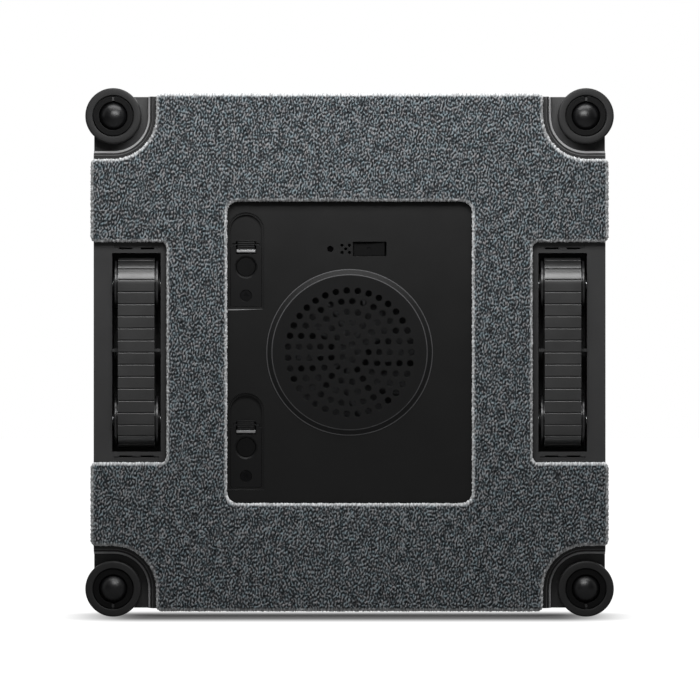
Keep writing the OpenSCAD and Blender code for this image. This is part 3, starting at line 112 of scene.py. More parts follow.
class Nodes:
    """Adds and joins the nodes of one material."""

    def __init__(self, name: str) -> None:
        """Starts an empty material with a shader and an output.

        Args:
            name: The material's name.
        """
        self.material = bpy.data.materials.new(name)
        self.material.use_nodes = True
        self.tree = self.material.node_tree
        self.tree.nodes.clear()
        self.shader = self.add("ShaderNodeBsdfPrincipled")
        self.output = self.add("ShaderNodeOutputMaterial")
        self.join(self.shader, "BSDF", self.output, "Surface")

    def add(self, kind: str, values: dict[str | int, object] | None = None, **settings: object) -> Node:
        """Adds a node.

        Args:
            kind: Blender's name of the node type.
            values: Values of its inputs, by name or number.
            settings: Properties to set on the node.

        Returns:
            The new node.
        """
        node = self.tree.nodes.new(kind)
        for key, value in settings.items():
            setattr(node, key, value)
        for key, value in (values or {}).items():
            node.inputs[key].default_value = value
        return node

    def join(self, source: Node, out: str, target: Node, into: str | int) -> None:
        """Links an output to an input."""
        self.tree.links.new(source.outputs[out], target.inputs[into])

    def noise(self, scale: float, detail: float = 2.0, stretch: Point = (1.0, 1.0, 1.0)) -> Node:
        """Adds noise in object coordinates.

        Args:
            scale: Waves per metre.
            detail: Number of octaves.
            stretch: Factors on the three axes.

        Returns:
            The noise node.
        """
        place = self.add("ShaderNodeTexCoord")
        mapping = self.add("ShaderNodeMapping", {"Scale": stretch})
        noise = self.add("ShaderNodeTexNoise", {"Scale": scale, "Detail": detail})
        self.join(place, "Object", mapping, "Vector")
        self.join(mapping, "Vector", noise, "Vector")
        return noise

    def ramp(self, source: Node, out: str, stops: list[tuple[float, Colour]]) -> Node:
        """Turns a value into a colour.

        Args:
            source: Node whose value is read.
            out: Name of the node's output.
            stops: Places from 0 to 1 and their colours.

        Returns:
            The colour ramp node.
        """
        ramp = self.add("ShaderNodeValToRGB")
        bar = ramp.color_ramp.elements
        while len(bar) < len(stops):
            bar.new(0.5)
        for stop, (place, colour) in zip(bar, stops):
            stop.position = place
            stop.color = (*colour, 1.0)
        self.join(source, out, ramp, "Fac")
        return ramp

    def spread(self, source: Node, out: str, low: float, high: float) -> Node:
        """Maps a value from its middle range to a new one.

        Args:
            source: Node whose value is read.
            out: Name of the node's output.
            low: Result at 0.3.
            high: Result at 0.7.

        Returns:
            The mapping node.
        """
        ends = {"From Min": 0.3, "From Max": 0.7, "To Min": low, "To Max": high}
        spread = self.add("ShaderNodeMapRange", ends)
        self.join(source, out, spread, "Value")
        return spread

    def bump(self, source: Node, out: str, depth: float, strength: float) -> Node:
        """Adds relief from a value and feeds it to the shader.

        Args:
            source: Node whose value is read.
            out: Name of the node's output.
            depth: Depth of the relief in metres.
            strength: Share of the relief that shows.

        Returns:
            The bump node.
        """
        bump = self.add("ShaderNodeBump", {"Distance": depth, "Strength": strength})
        self.join(source, out, bump, "Height")
        self.join(bump, "Normal", self.shader, "Normal")
        return bump

    def near(self, source: Node, out: str, middle_mm: float, half_mm: float) -> Node:
        """Adds a node that is 1 where a length lies near a middle.

        Args:
            source: Node whose value is read, in metres.
            out: Name of the node's output.
            middle_mm: The middle in millimetres.
            half_mm: How far from the middle still counts, in millimetres.

        Returns:
            The comparing node.
        """
        near = self.add("ShaderNodeMath", {1: middle_mm * MM, 2: half_mm * MM}, operation="COMPARE")
        self.join(source, out, near, 0)
        return near

    def set(self, **values: float | Colour) -> None:
        """Sets the shader's own sockets, with spaces as underscores."""
        for key, value in values.items():
            socket = self.shader.inputs[key.replace("_", " ")]
            socket.default_value = (*value, 1.0) if isinstance(value, tuple) else value


def tinted(colour: Colour, factor: float) -> Colour:
    """Makes a colour lighter or darker by a factor."""
    return tuple(min(1.0, part * factor) for part in colour)


@dataclass(frozen=True)
class Box:
    """Area of a finish between two corners, mirrored to both sides of every axis."""

    low_mm: Point
    high_mm: Point
    factor: float

    def mask(self, nodes: Nodes, mirrored: Node) -> Node:
        """Adds a node that is 1 inside the box, from object coordinates without their signs."""
        axes = nodes.add("ShaderNodeSeparateXYZ")
        nodes.join(mirrored, "Vector", axes, "Vector")
        inside = None
        for axis, low, high in zip("XYZ", self.low_mm, self.high_mm):
            near = nodes.near(axes, axis, (low + high) / 2, (high - low) / 2)
            if inside:
                both = nodes.add("ShaderNodeMath", operation="MULTIPLY")
                nodes.join(inside, "Value", both, 0)
                nodes.join(near, "Value", both, 1)
                near = both
            inside = near
        return inside


@dataclass(frozen=True)
class Ring:
    """Area of a finish along a circle about the y axis."""

    radius_mm: float
    half_mm: float
    factor: float

    def mask(self, nodes: Nodes, mirrored: Node) -> Node:
        """Adds a node that is 1 on the ring, from object coordinates without their signs."""
        flat = nodes.add("ShaderNodeVectorMath", {1: (1.0, 0.0, 1.0)}, operation="MULTIPLY")
        away = nodes.add("ShaderNodeVectorMath", operation="LENGTH")
        nodes.join(mirrored, "Vector", flat, 0)
        nodes.join(flat, "Vector", away, 0)
        return nodes.near(away, "Value", self.radius_mm, self.half_mm)


@dataclass(frozen=True)
class MouldedFinish:
    """Moulded plastic, rubber or foam with a fine texture, uneven sheen, and painted highlights and shade in
    some areas.
    """

    name: str
    colour: Colour
    roughness: float
    grain_mm: float = 0.35
    relief_mm: float = 0.02
    patch_mm: float = 14.0
    uneven: float = 0.12
    gloss: float = 0.35
    grain: Grain = Grain.FINE
    areas: tuple[Box | Ring, ...] = ()

    def build(self) -> bpy.types.Material:
        """Makes the material."""
        nodes = Nodes(self.name)
        patch = nodes.noise(1 / (self.patch_mm * MM), 4.0)
        colours = [(0.3, tinted(self.colour, 1 - self.uneven)), (0.7, tinted(self.colour, 1 + self.uneven))]
        colour = nodes.ramp(patch, "Fac", colours)
        if self.areas:
            nodes.join(self._tone_areas(nodes, colour), "Vector", nodes.shader, "Base Color")
        else:
            nodes.join(colour, "Color", nodes.shader, "Base Color")
        rough = nodes.spread(patch, "Fac", self.roughness - self.uneven / 4, self.roughness + self.uneven / 4)
        nodes.join(rough, "Result", nodes.shader, "Roughness")
        relief, out = self._relief(nodes)
        nodes.bump(relief, out, self.relief_mm * MM, 0.6)
        nodes.set(Specular_IOR_Level=self.gloss)
        return nodes.material

    def _tone_areas(self, nodes: Nodes, colour: Node) -> Node:
        """Gives areas of the piece a tone of their own: a darker panel, painted highlights and painted shade.

        A painted highlight is a light line of colour along an edge, not form or gloss, so it stays light
        under any lamp.
        Painted shade darkens a recess in the same way.

        Args:
            nodes: The material's nodes.
            colour: Colour of the rest of the piece.

        Returns:
            The node with the final colour as its vector.
        """
        place = nodes.add("ShaderNodeTexCoord")
        mirrored = nodes.add("ShaderNodeVectorMath", operation="ABSOLUTE")
        nodes.join(place, "Object", mirrored, 0)
        out = "Color"
        for area in self.areas:
            tone = nodes.add("ShaderNodeMapRange", {"To Min": 1.0, "To Max": area.factor})
            mixed = nodes.add("ShaderNodeVectorMath", operation="SCALE")
            nodes.join(area.mask(nodes, mirrored), "Value", tone, "Value")
            nodes.join(colour, out, mixed, 0)
            nodes.join(tone, "Result", mixed, "Scale")
            colour, out = mixed, "Vector"
        return colour

    def _relief(self, nodes: Nodes) -> tuple[Node, str]:
        """Adds the pattern of the finish.

        Args:
            nodes: The material's nodes.

        Returns:
            The pattern's node and the name of its output.
        """
        scale = 1 / (self.grain_mm * MM)
        if self.grain is Grain.FINE:
            return nodes.noise(scale, 2.0), "Fac"
        place = nodes.add("ShaderNodeTexCoord")
        if self.grain is Grain.CELLS:
            cells = nodes.add("ShaderNodeTexVoronoi", {"Scale": scale})
            nodes.join(place, "Object", cells, "Vector")
            return cells, "Distance"
        threads = []
        for axis in ("X", "Z"):
            wave = nodes.add("ShaderNodeTexWave", {"Scale": scale / 2}, bands_direction=axis)
            nodes.join(place, "Object", wave, "Vector")
            threads.append(wave)
        weave = nodes.add("ShaderNodeMath", operation="MAXIMUM")
        nodes.join(threads[0], "Fac", weave, 0)
        nodes.join(threads[1], "Fac", weave, 1)
        return weave, "Value"


@dataclass(frozen=True)
class MetalFinish:
    """Drawn, ground or plated metal with fine marks along one direction."""

    name: str
    colour: Colour
    roughness: float
    lay: Lay = Lay.ACROSS
    mark_mm: float = 0.12

    def build(self) -> bpy.types.Material:
        """Makes the material."""
        nodes = Nodes(self.name)
        marks = nodes.noise(1 / (self.mark_mm * MM), 3.0, self.lay.value)
        stops = [(0.3, tinted(self.colour, 0.86)), (0.7, tinted(self.colour, 1.06))]
        nodes.join(nodes.ramp(marks, "Fac", stops), "Color", nodes.shader, "Base Color")
        rough = nodes.spread(marks, "Fac", self.roughness - 0.05, self.roughness + 0.08)
        nodes.join(rough, "Result", nodes.shader, "Roughness")
        nodes.bump(marks, "Fac", 0.01 * MM, 0.4)
        nodes.set(Metallic=1.0)
        return nodes.material


@dataclass(frozen=True)
class FrostedFinish:
    """Milky light guide with a faint cloud in it."""

    name: str
    colour: Colour
    roughness: float = 0.28

    def build(self) -> bpy.types.Material:
        """Makes the material."""
        nodes = Nodes(self.name)
        cloud = nodes.noise(260.0, 3.0)
        stops = [(0.25, tinted(self.colour, 0.8)), (0.75, tinted(self.colour, 1.12))]
        nodes.join(nodes.ramp(cloud, "Fac", stops), "Color", nodes.shader, "Base Color")
        nodes.bump(nodes.noise(2400.0), "Fac", 0.01 * MM, 0.4)
        nodes.set(Roughness=self.roughness, Subsurface_Weight=0.35, Subsurface_Scale=2 * MM)
        return nodes.material


@dataclass(frozen=True)
class BoardFinish:
    """Solder mask over a copper pattern."""

    name: str
    mask: Colour
    track: Colour

    def build(self) -> bpy.types.Material:
        """Makes the material."""
        nodes = Nodes(self.name)
        place = nodes.add("ShaderNodeTexCoord")
        turn = nodes.add("ShaderNodeMapping", {"Rotation": (math.pi / 2, 0.0, 0.0)})
        tracks = nodes.add("ShaderNodeTexBrick", {
            "Scale": 220.0, "Mortar Size": 0.03, "Color1": (*self.mask, 1.0),
            "Color2": (*tinted(self.mask, 0.8), 1.0), "Mortar": (*self.track, 1.0)})
        nodes.join(place, "Object", turn, "Vector")
        nodes.join(turn, "Vector", tracks, "Vector")
        nodes.join(tracks, "Color", nodes.shader, "Base Color")
        nodes.bump(tracks, "Fac", 0.05 * MM, 0.5)
        nodes.set(Roughness=0.32)
        return nodes.material


@dataclass(frozen=True)
class PileFinish:
    """Looped microfibre, coloured by how high each loop stands and by its distance from the edge.

    Dark pits between the loops are painted shade, and light loop tips and the light band along the rolled
    edge are painted highlights. The middle colour and the yarn's random tint are the fibre's own.
    """

    name: str
    deep: Colour
    body: Colour
    tip: Colour
    rim: Colour

    def build(self) -> bpy.types.Material:
        """Makes the material."""
        nodes = Nodes(self.name)
        height = nodes.add("ShaderNodeAttribute", attribute_name="pile")
        edge = nodes.add("ShaderNodeAttribute", attribute_name="rim")
        # The low end is painted shade in the pits, the high end a painted highlight on the loop tips; the
        # middle is the fibre's own colour.
        loops = nodes.ramp(height, "Fac", [(0.05, self.deep), (0.5, self.body), (0.95, self.tip)])
        shades = [(0.35, (0.8, 0.96, 1.0)), (0.65, (1.12, 1.03, 1.0))]
        yarn = nodes.ramp(nodes.noise(420.0, 2.0), "Fac", shades)
        dye_and_painted_light = nodes.add("ShaderNodeMix", {"Factor": 1.0}, data_type="RGBA", blend_type="MULTIPLY")
        nodes.join(loops, "Color", dye_and_painted_light, 6)
        nodes.join(yarn, "Color", dye_and_painted_light, 7)
        # Painted highlight along the rolled edge, laid over the loops.
        rim = nodes.add("ShaderNodeMix", {7: (*self.rim, 1.0)}, data_type="RGBA")
        nodes.join(edge, "Fac", rim, "Factor")
        nodes.tree.links.new(dye_and_painted_light.outputs[2], rim.inputs[6])
        nodes.tree.links.new(rim.outputs[2], nodes.shader.inputs["Base Color"])
        nodes.bump(nodes.noise(3200.0, 3.0), "Fac", 0.12 * MM, 0.7)
        nodes.set(Roughness=0.92, Specular_IOR_Level=0.15, Sheen_Weight=0.25, Sheen_Roughness=0.5)
        return nodes.material


Finish = MouldedFinish | MetalFinish | FrostedFinish | BoardFinish | PileFinish

FINISHES: dict[str, Finish] = {
    "black_casing": MouldedFinish("casing black", (0.039, 0.039, 0.0395), 0.36, uneven=0.05, gloss=0.36,
                                  areas=(
        # A darker panel, and a painted highlight along the corner pockets' ledge.
        Box((0, 0, 0), (58, 90, 71.5), 0.12), Box((90, 8.6, 90), (125, 10.2, 125), 11.0),
        # Painted highlights along the lower edges of the latch recesses.
        Box((38, 7.03, 19.4), (58, 7.8, 20.4), 40.0), Box((38, 7.03, 63.4), (58, 7.8, 64.4), 40.0),
        # Painted shade in the corner pockets, and a painted highlight along their outer step.
        Box((88, 5, 88), (125, 8.5, 125), 0.4), Box((90, 5.52, 90), (125, 5.9, 125), 8.0))),
    "black_panel": MouldedFinish("panel black", (0.006, 0.006, 0.0062), 0.46, uneven=0.05, gloss=0.17,
                                 # Painted highlights on two rings of the grille's bevelled edge.
                                 areas=(Ring(36.25, 0.22, 12.0), Ring(38.7, 0.22, 12.0))),
    "dark_trim": MouldedFinish("trim black", (0.004, 0.004, 0.0041), 0.46, gloss=0.1),
    "looped_pad": PileFinish("looped microfibre", (0.0025, 0.0038, 0.0048), (0.043, 0.048, 0.053),
                             (0.26, 0.275, 0.29), (0.78, 0.79, 0.8)),
    "hook_tape": MouldedFinish("hook tape", (0.02, 0.02, 0.022), 0.85, 0.8, 0.15, grain=Grain.WEAVE),
    "rear_shell": MouldedFinish("shell charcoal", (0.03, 0.032, 0.035), 0.42, 0.5, 0.015),
    "soft_grip": MouldedFinish("soft grip", (0.014, 0.014, 0.015), 0.72, 0.6, 0.05),
    "light_guide": FrostedFinish("light guide", (0.48, 0.66, 0.75)),
    "white_button": MouldedFinish("button white", (0.72, 0.73, 0.74), 0.35, uneven=0.03, gloss=0.5),
    "dark_window": MouldedFinish("dark window", (0.001, 0.0008, 0.001), 0.2, 2.0, 0.003, gloss=0.06),
    "steel_wire": MetalFinish("drawn steel", (0.6, 0.61, 0.62), 0.26),
    "zinc_steel": MetalFinish("black zinc", (0.014, 0.014, 0.0145), 0.45),
    "foam_seal": MouldedFinish("foam seal", (0.05, 0.05, 0.052), 0.9, 0.9, 0.2, grain=Grain.CELLS),
    "grey_plastic": MouldedFinish("moulded grey", (0.07, 0.072, 0.075), 0.5),
    "ground_steel": MetalFinish("ground steel", (0.5, 0.51, 0.52), 0.24),
    "motor_steel": MetalFinish("motor can", (0.42, 0.43, 0.44), 0.34, Lay.DEEP),
    "circuit_board": BoardFinish("solder mask", (0.02, 0.12, 0.06), (0.06, 0.24, 0.11)),
    "cell_wrap": MouldedFinish("cell wrap", (0.03, 0.2, 0.1), 0.3, 3.0, 0.03, gloss=0.5),
    "belt_rubber": MouldedFinish("belt rubber", (0.026, 0.026, 0.0262), 0.33, 0.4, 0.012, gloss=0.8),
    "wheel_plastic": MouldedFinish("wheel black", (0.02, 0.02, 0.0205), 0.3, gloss=0.5),
    "gear_brass": MetalFinish("cut brass", (0.62, 0.46, 0.2), 0.3),
    "roller_rubber": MouldedFinish("roller rubber", (0.017, 0.017, 0.0172), 0.5, 0.4, 0.02, gloss=0.22),
    "gloss_dome": MouldedFinish("polished dome", (0.004, 0.004, 0.0045), 0.36, 1.5, 0.002, gloss=0.45),
    "bright_steel": MetalFinish("bright steel", (0.42, 0.42, 0.425), 0.42),
}


class Wardrobe:
    """Finishes by material slot, and which slot and body each node has."""

    def __init__(self, record: dict[str, object]) -> None:
        """Reads the slots and the bodies from the record.

        Args:
            record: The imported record.
        """
        self.slots = {part["node"]: part["material_slot"] for part in record["subparts"]}
        self.bodies = {node: body for body, nodes in record["behaviour"]["bodies"].items() for node in nodes}
        self.made: dict[str, bpy.types.Material] = {}

    def material(self, slot: str) -> bpy.types.Material:
        """Gives the material of a slot, made once."""
        if slot not in self.made:
            self.made[slot] = FINISHES[slot].build()
        return self.made[slot]

    def dress_nodes(self, nodes: dict[str, Piece]) -> None:
        """Gives every node the material of its own slot."""
        for name, node in nodes.items():
            for place in node.material_slots:
                place.material = self.material(self.slots[name])
            if not node.material_slots:
                LOG.warning("%s has no material slot", name)

    def fit(self, piece: Piece, node: str, stands_in: bool = True) -> None:
        """Dresses a piece as a node, lets it ride on the node's body and lets it stand for the node.

        Args:
            piece: The finished piece.
            node: Name of the node that it belongs to.
            stands_in: Whether the piece replaces the node.
        """
        slot = self.slots[node]
        piece.data.materials.clear()
        piece.data.materials.append(self.material(slot))
        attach(piece, self.bodies[node])
        if stands_in:
            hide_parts(node)
        LOG.info("%s: %d faces on %s", piece.name, len(piece.data.polygons), self.bodies[node])


def only(piece: Piece) -> None:
    """Selects one object alone and makes it the active one."""
    bpy.ops.object.select_all(action="DESELECT")
    piece.select_set(True)
    bpy.context.view_layer.objects.active = piece


def new_piece(name: str, points: np.ndarray | list, edges: list, faces: list) -> Piece:
    """Makes an object at the origin from points, edges and faces.

    Args:
        name: The piece's name.
        points: Places in metres.
        edges: Pairs of point numbers.
        faces: Lists of point numbers.

    Returns:
        The new object, selected alone.
    """
    mesh = bpy.data.meshes.new(name)
    mesh.from_pydata([tuple(point) for point in points], edges, faces)
    piece = bpy.data.objects.new(name, mesh)
    bpy.context.scene.collection.objects.link(piece)
    only(piece)
    return piece


def place_mesh(piece: Piece) -> None:
    """Moves an object's place, turn and size into its mesh."""
    only(piece)
    bpy.ops.object.transform_apply(location=True, rotation=True, scale=True)


def apply_modifier(piece: Piece, kind: str, **values: object) -> None:
    """Adds a modifier with these values and applies it."""
    only(piece)
    modifier = piece.modifiers.new(kind.lower(), kind)
    for key, value in values.items():
        setattr(modifier, key, value)
    bpy.ops.object.modifier_apply(modifier=modifier.name)


def smooth(piece: Piece, degrees: float = 32.0) -> None:
    """Shades a piece smooth except over sharp edges."""
    only(piece)
    bpy.ops.object.shade_smooth_by_angle(angle=math.radians(degrees))


def softened_copy(
    node: str, name: str, width_mm: float, chosen: Callable[[Vector, Vector], float] | None = None
) -> Piece:
    """Copies a node's mesh, merges it and rounds its sharp edges.

    Args:
        node: The node to copy.
        name: Name of the copy.
        width_mm: Width of the rounding of all sharp edges.
        chosen: Width in millimetres for an edge between two points, where it isn't 0.

    Returns:
        The softened copy.
    """
    source = frame["nodes"][node]
    mesh = source.data.copy()
    mesh.transform(source.matrix_world)
    piece = bpy.data.objects.new(name, mesh)
    bpy.context.scene.collection.objects.link(piece)
    only(piece)
    bpy.ops.object.mode_set(mode="EDIT")
    bpy.ops.mesh.select_all(action="SELECT")
    bpy.ops.mesh.remove_doubles(threshold=WELD)
    bpy.ops.mesh.dissolve_limited(angle_limit=math.radians(0.4))
    if chosen:
        _bevel_chosen(piece, chosen)
    bpy.ops.object.mode_set(mode="OBJECT")
    if mesh.has_custom_normals:
        bpy.ops.mesh.customdata_custom_splitnormals_clear()
    apply_modifier(piece, "BEVEL", width=width_mm * MM, segments=2, limit_method="ANGLE",
                   angle_limit=math.radians(35), use_clamp_overlap=True)
    smooth(piece)
    apply_modifier(piece, "WEIGHTED_NORMAL", keep_sharp=True, weight=90)
    return piece


def _bevel_chosen(piece: Piece, chosen: Callable[[Vector, Vector], float]) -> None:
    """Bevels the sharp edges that a rule gives a width of their own, one width at a time.

    Args:
        piece: The piece, in edit mode.
        chosen: Width in millimetres for an edge between two points, where it isn't 0.
    """
    shape = bmesh.from_edit_mesh(piece.data)
    widths = {chosen(edge.verts[0].co, edge.verts[1].co) for edge in shape.edges}
    for width in sorted(widths - {0.0}, reverse=True):
        shape = bmesh.from_edit_mesh(piece.data)
        bpy.ops.mesh.select_all(action="DESELECT")
        for edge in shape.edges:
            sharp = len(edge.link_faces) == 2 and edge.calc_face_angle() > math.radians(40)
            if sharp and chosen(edge.verts[0].co, edge.verts[1].co) == width:
                edge.select_set(True)
        bmesh.update_edit_mesh(piece.data)
        bpy.ops.mesh.bevel(offset=width * MM, segments=3, affect="EDGES", clamp_overlap=True)


def rounded_profile(corners: list[tuple[float, float, float]], steps: int = 4) -> list[tuple[float, float]]:
    """Draws a profile through corners, each rounded with its own radius.

    Args:
        corners: Radius, depth and rounding radius of each corner, in millimetres.
        steps: Steps of each rounding.

    Returns:
        Points of the profile in millimetres.
    """
    points: list[tuple[float, float]] = []
    for index, (radius, depth, rounding) in enumerate(corners):
        here = Vector((radius, depth))
        if rounding == 0 or index in (0, len(corners) - 1):
            points.append((radius, depth))
            continue
        before = (Vector(corners[index - 1][:2]) - here).normalized()
        after = (Vector(corners[index + 1][:2]) - here).normalized()
        for step in range(steps + 1):
            part = step / steps
            start, end = here + before * rounding, here + after * rounding
            point = start * (1 - part) ** 2 + here * 2 * part * (1 - part) + end * part ** 2
            points.append((point.x, point.y))
    return points


def spun(name: str, profile: list[tuple[float, float]], place: Point, steps: int = 96) -> Piece:
    """Spins a profile about the y axis and moves it to its place.

    Args:
        name: Name of the piece.
        profile: Radius and depth of its points in millimetres, from the glass backwards.
        place: Where the axis stands, in metres.
        steps: Number of steps round the axis.

    Returns:
        The closed, smooth piece.
    """
    points = [(radius * MM, depth * MM, 0.0) for radius, depth in profile]
    piece = new_piece(name, points, [(i, i + 1) for i in range(len(points) - 1)], [])
    bpy.ops.object.mode_set(mode="EDIT")
    bpy.ops.mesh.select_all(action="SELECT")
    bpy.ops.mesh.spin(steps=steps, angle=2 * math.pi, center=(0, 0, 0), axis=(0, 1, 0))
    bpy.ops.mesh.select_all(action="SELECT")
    bpy.ops.mesh.remove_doubles(threshold=0.002 * MM)
    bpy.ops.mesh.select_all(action="SELECT")
    bpy.ops.mesh.normals_make_consistent(inside=False)
    bpy.ops.object.mode_set(mode="OBJECT")
    piece.data.transform(Matrix.Translation(place))
    smooth(piece, 40.0)
    return piece


@dataclass
class LoopedPad:
    """Looped microfibre pad, modelled over the outline of its node."""

    step_x_mm: float = 0.36
    step_z_mm: float = 0.52
    loop_w_mm: float = 1.35
    loop_h_mm: float = 2.05
    loop_rise_mm: float = 0.7
    roll_mm: float = 2.4
    roll_drop_mm: float = 1.7
    fuzz_mm: float = 0.3
    fuzz_w_mm: float = 0.8
    # Width and strength of the painted highlight along the rolled edge.
    rim_w_mm: float = 1.3
    rim_full: float = 1.25
    rim_flat: float = 0.72
    rim_loops: float = 0.35
    waves: tuple[Point, ...] = ((1.0, 0.42, 0.75), (1.7, 0.5, 0.4), (0.22, 0.15, 0.18))
    seed: int = 11

    def build(self, wardrobe: Wardrobe) -> Piece:
        """Args:
            wardrobe: Finishes and bodies of the nodes.

        Returns:
            The pad.
        """
        low, high = (Vector(corner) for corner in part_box("cleaning_pad"))
        border = self._outline(high.y)
        xs = np.arange(low.x + 0.1 * MM, high.x, self.step_x_mm * MM)
        zs = np.arange(low.z + 0.1 * MM, high.z, self.step_z_mm * MM)
        inside = self._inside(border, xs, zs)
        rng = np.random.default_rng(self.seed)
        pile = self._pile(rng, len(zs), len(xs))
        piece = self._sheet(border, xs, zs, inside, pile, rng)
        self._close(piece, high.y)
        wardrobe.fit(piece, "cleaning_pad")
        return piece

    def _outline(self, depth: float) -> tuple[np.ndarray, np.ndarray]:
        """Finds the border edges of the node's back face.

        Args:
            depth: Depth of the back face in metres.

        Returns:
            Start and end points of the border edges, as x and z.
        """
        shape = bmesh.new()
        shape.from_mesh(frame["nodes"]["cleaning_pad"].data)
        bmesh.ops.remove_doubles(shape, verts=shape.verts, dist=WELD)
        ends = []
        for edge in shape.edges:
            flat = [face for face in edge.link_faces if face.normal.y > 0.9 and
                    all(abs(vert.co.y - depth) < 0.01 * MM for vert in face.verts)]
            if len(flat) == 1:
                ends.append([(vert.co.x, vert.co.z) for vert in edge.verts])
        shape.free()
        ends = np.array(ends)
        return ends[:, 0], ends[:, 1]

    def _inside(self, border: tuple, xs: np.ndarray, zs: np.ndarray) -> np.ndarray:
        """Tells which grid points lie inside the outline, row by row.

        Args:
            border: Start and end points of the border edges.
            xs: Columns of the grid.
            zs: Rows of the grid.

        Returns:
            A table of truth values, a row for each z.
        """
        starts, ends = border
        table = np.zeros((len(zs), len(xs)), bool)
        for row, z in enumerate(zs):
            cross = (starts[:, 1] > z) != (ends[:, 1] > z)
            a, b = starts[cross], ends[cross]
            at = np.sort(a[:, 0] + (z - a[:, 1]) / (b[:, 1] - a[:, 1]) * (b[:, 0] - a[:, 0]))
            table[row] = np.searchsorted(at, xs) % 2 == 1
        return table

    def _pile(self, rng: np.random.Generator, rows: int, columns: int) -> np.ndarray:
        """Draws the height of short, bent loops as noise of nearly one wavelength.

        Args:
            rng: Source of random numbers.
            rows: Rows of the grid.
            columns: Columns of the grid.

        Returns:
            Heights from about -1 to 1.
        """
        noise = np.fft.rfft2(rng.standard_normal((rows, columns)))
        fz = np.fft.fftfreq(rows, self.step_z_mm)[:, None] * self.loop_h_mm
        fx = np.fft.rfftfreq(columns, self.step_x_mm)[None, :] * self.loop_w_mm
        height = np.zeros((rows, columns))
        for centre, width, share in self.waves:
            kept = noise * np.exp(-((np.hypot(fx, fz) - centre) / width) ** 2)
            band = np.fft.irfft2(kept, s=(rows, columns))
            height += share * (band / band.std())
        return np.tanh(height)

    def _sheet(
        self, border: tuple, xs: np.ndarray, zs: np.ndarray, inside: np.ndarray, pile: np.ndarray,
        rng: np.random.Generator
    ) -> Piece:
        """Makes the front sheet with its rolled edge and its loops.

        Args:
            border: Start and end points of the border edges.
            xs: Columns of the grid.
            zs: Rows of the grid.
            inside: Which grid points lie inside the outline.
            pile: Heights of the loops.
            rng: Source of random numbers.

        Returns:
            The open sheet with its two attributes.
        """
        points, tree = self._border_tree(border)
        used = inside.copy()
        away = np.full(inside.shape, self.roll_mm * MM * 2)
        nearest = np.zeros((*inside.shape, 2))
        for row, column in zip(*np.nonzero(self._near_border(inside))):
            if inside[row, column]:
                _, index, distance = tree.find((xs[column], 0.0, zs[row]))
                away[row, column] = distance
                nearest[row, column] = points[index]
                used[row, column] = distance > 0.3 * self.step_x_mm * MM
        cells = used[:-1, :-1] & used[:-1, 1:] & used[1:, :-1] & used[1:, 1:]
        count = np.zeros(inside.shape, int)
        for dz in (0, 1):
            for dx in (0, 1):
                count[dz:len(zs) - 1 + dz, dx:len(xs) - 1 + dx] += cells
        rows, columns = np.nonzero(count)
        edge = count[rows, columns] < 4
        x, z = xs[columns].copy(), zs[rows].copy()
        d = away[rows, columns] / MM
        x[edge], z[edge] = nearest[rows, columns][edge].T
        d[edge] = 0.0
        fuzz = rng.uniform(-0.4, 1.0, len(x)) * self.fuzz_mm * MM * np.clip(1 - d / self.fuzz_w_mm, 0, 1)
        outward = self._outward(away, rows, columns)
        x, z = x + outward[:, 0] * fuzz, z + outward[:, 1] * fuzz
        height = pile[rows, columns]
        inner = 1 - np.clip(d / self.roll_mm, 0, 1)
        roll = self.roll_drop_mm * (1 - np.sqrt(np.clip(1 - inner ** 2, 0, 1)))
        y = (0.5 * self.loop_rise_mm - 0.5 * self.loop_rise_mm * height + roll) * MM
        number = np.full(inside.shape, -1)
        number[rows, columns] = np.arange(len(rows))
        cz, cx = np.nonzero(cells)
        faces = np.stack([number[cz, cx], number[cz, cx + 1], number[cz + 1, cx + 1], number[cz + 1, cx]], 1)
        piece = new_piece("looped_pad", np.stack([x, y, z], 1), [], faces.tolist())
        # Painted highlight along the rolled edge, stronger where the loops stand high.
        near = np.clip(self.rim_full - d / self.rim_w_mm, 0, 1)
        mix = near * (self.rim_flat + self.rim_loops * height)
        for name, values in (("pile", 0.5 + 0.5 * height), ("rim", np.clip(mix, 0, 1))):
            table = piece.data.attributes.new(name, "FLOAT", "POINT")
            table.data.foreach_set("value", values.astype(np.float32))
        return piece

    def _border_tree(self, border: tuple) -> tuple[np.ndarray, KDTree]:
        """Fills a search tree with points along the outline.

        Args:
            border: Start and end points of the border edges.

        Returns:
            The points and the tree.
        """
        starts, ends = border
        points = []
        for start, end in zip(starts, ends):
            parts = max(1, int(np.hypot(*(end - start)) / (0.1 * MM)))
            points.extend(start + (end - start) * step / parts for step in range(parts))
        tree = KDTree(len(points))
        for index, (x, z) in enumerate(points):
            tree.insert((x, 0.0, z), index)
        tree.balance()
        return np.array(points), tree

    def _near_border(self, inside: np.ndarray) -> np.ndarray:
        """Marks the grid points within the rolled edge's width of the outline.

        Args:
            inside: Which grid points lie inside the outline.

        Returns:
            A table of truth values.
        """
        reach = int(self.roll_mm / self.step_x_mm) + 2
        deep = np.pad(inside, reach)
        for axis in (0, 1):
            deep = np.min([np.roll(deep, shift, axis) for shift in range(-reach, reach + 1)], axis=0)
        return inside & ~deep[reach:-reach, reach:-reach]

    def _outward(self, away: np.ndarray, rows: np.ndarray, columns: np.ndarray) -> np.ndarray:
        """Gives the direction out of the pad at grid points.

        Args:
            away: Distances from the outline.
            rows: Rows of the points.
            columns: Columns of the points.

        Returns:
            Unit directions in x and z, or zero in the middle of the pad.
        """
        slope_z, slope_x = np.gradient(away, self.step_z_mm, self.step_x_mm)
        slope = np.stack([slope_x[rows, columns], slope_z[rows, columns]], 1)
        length = np.linalg.norm(slope, axis=1, keepdims=True)
        return np.where(length > 1e-6, -slope / np.maximum(length, 1e-9), 0.0)

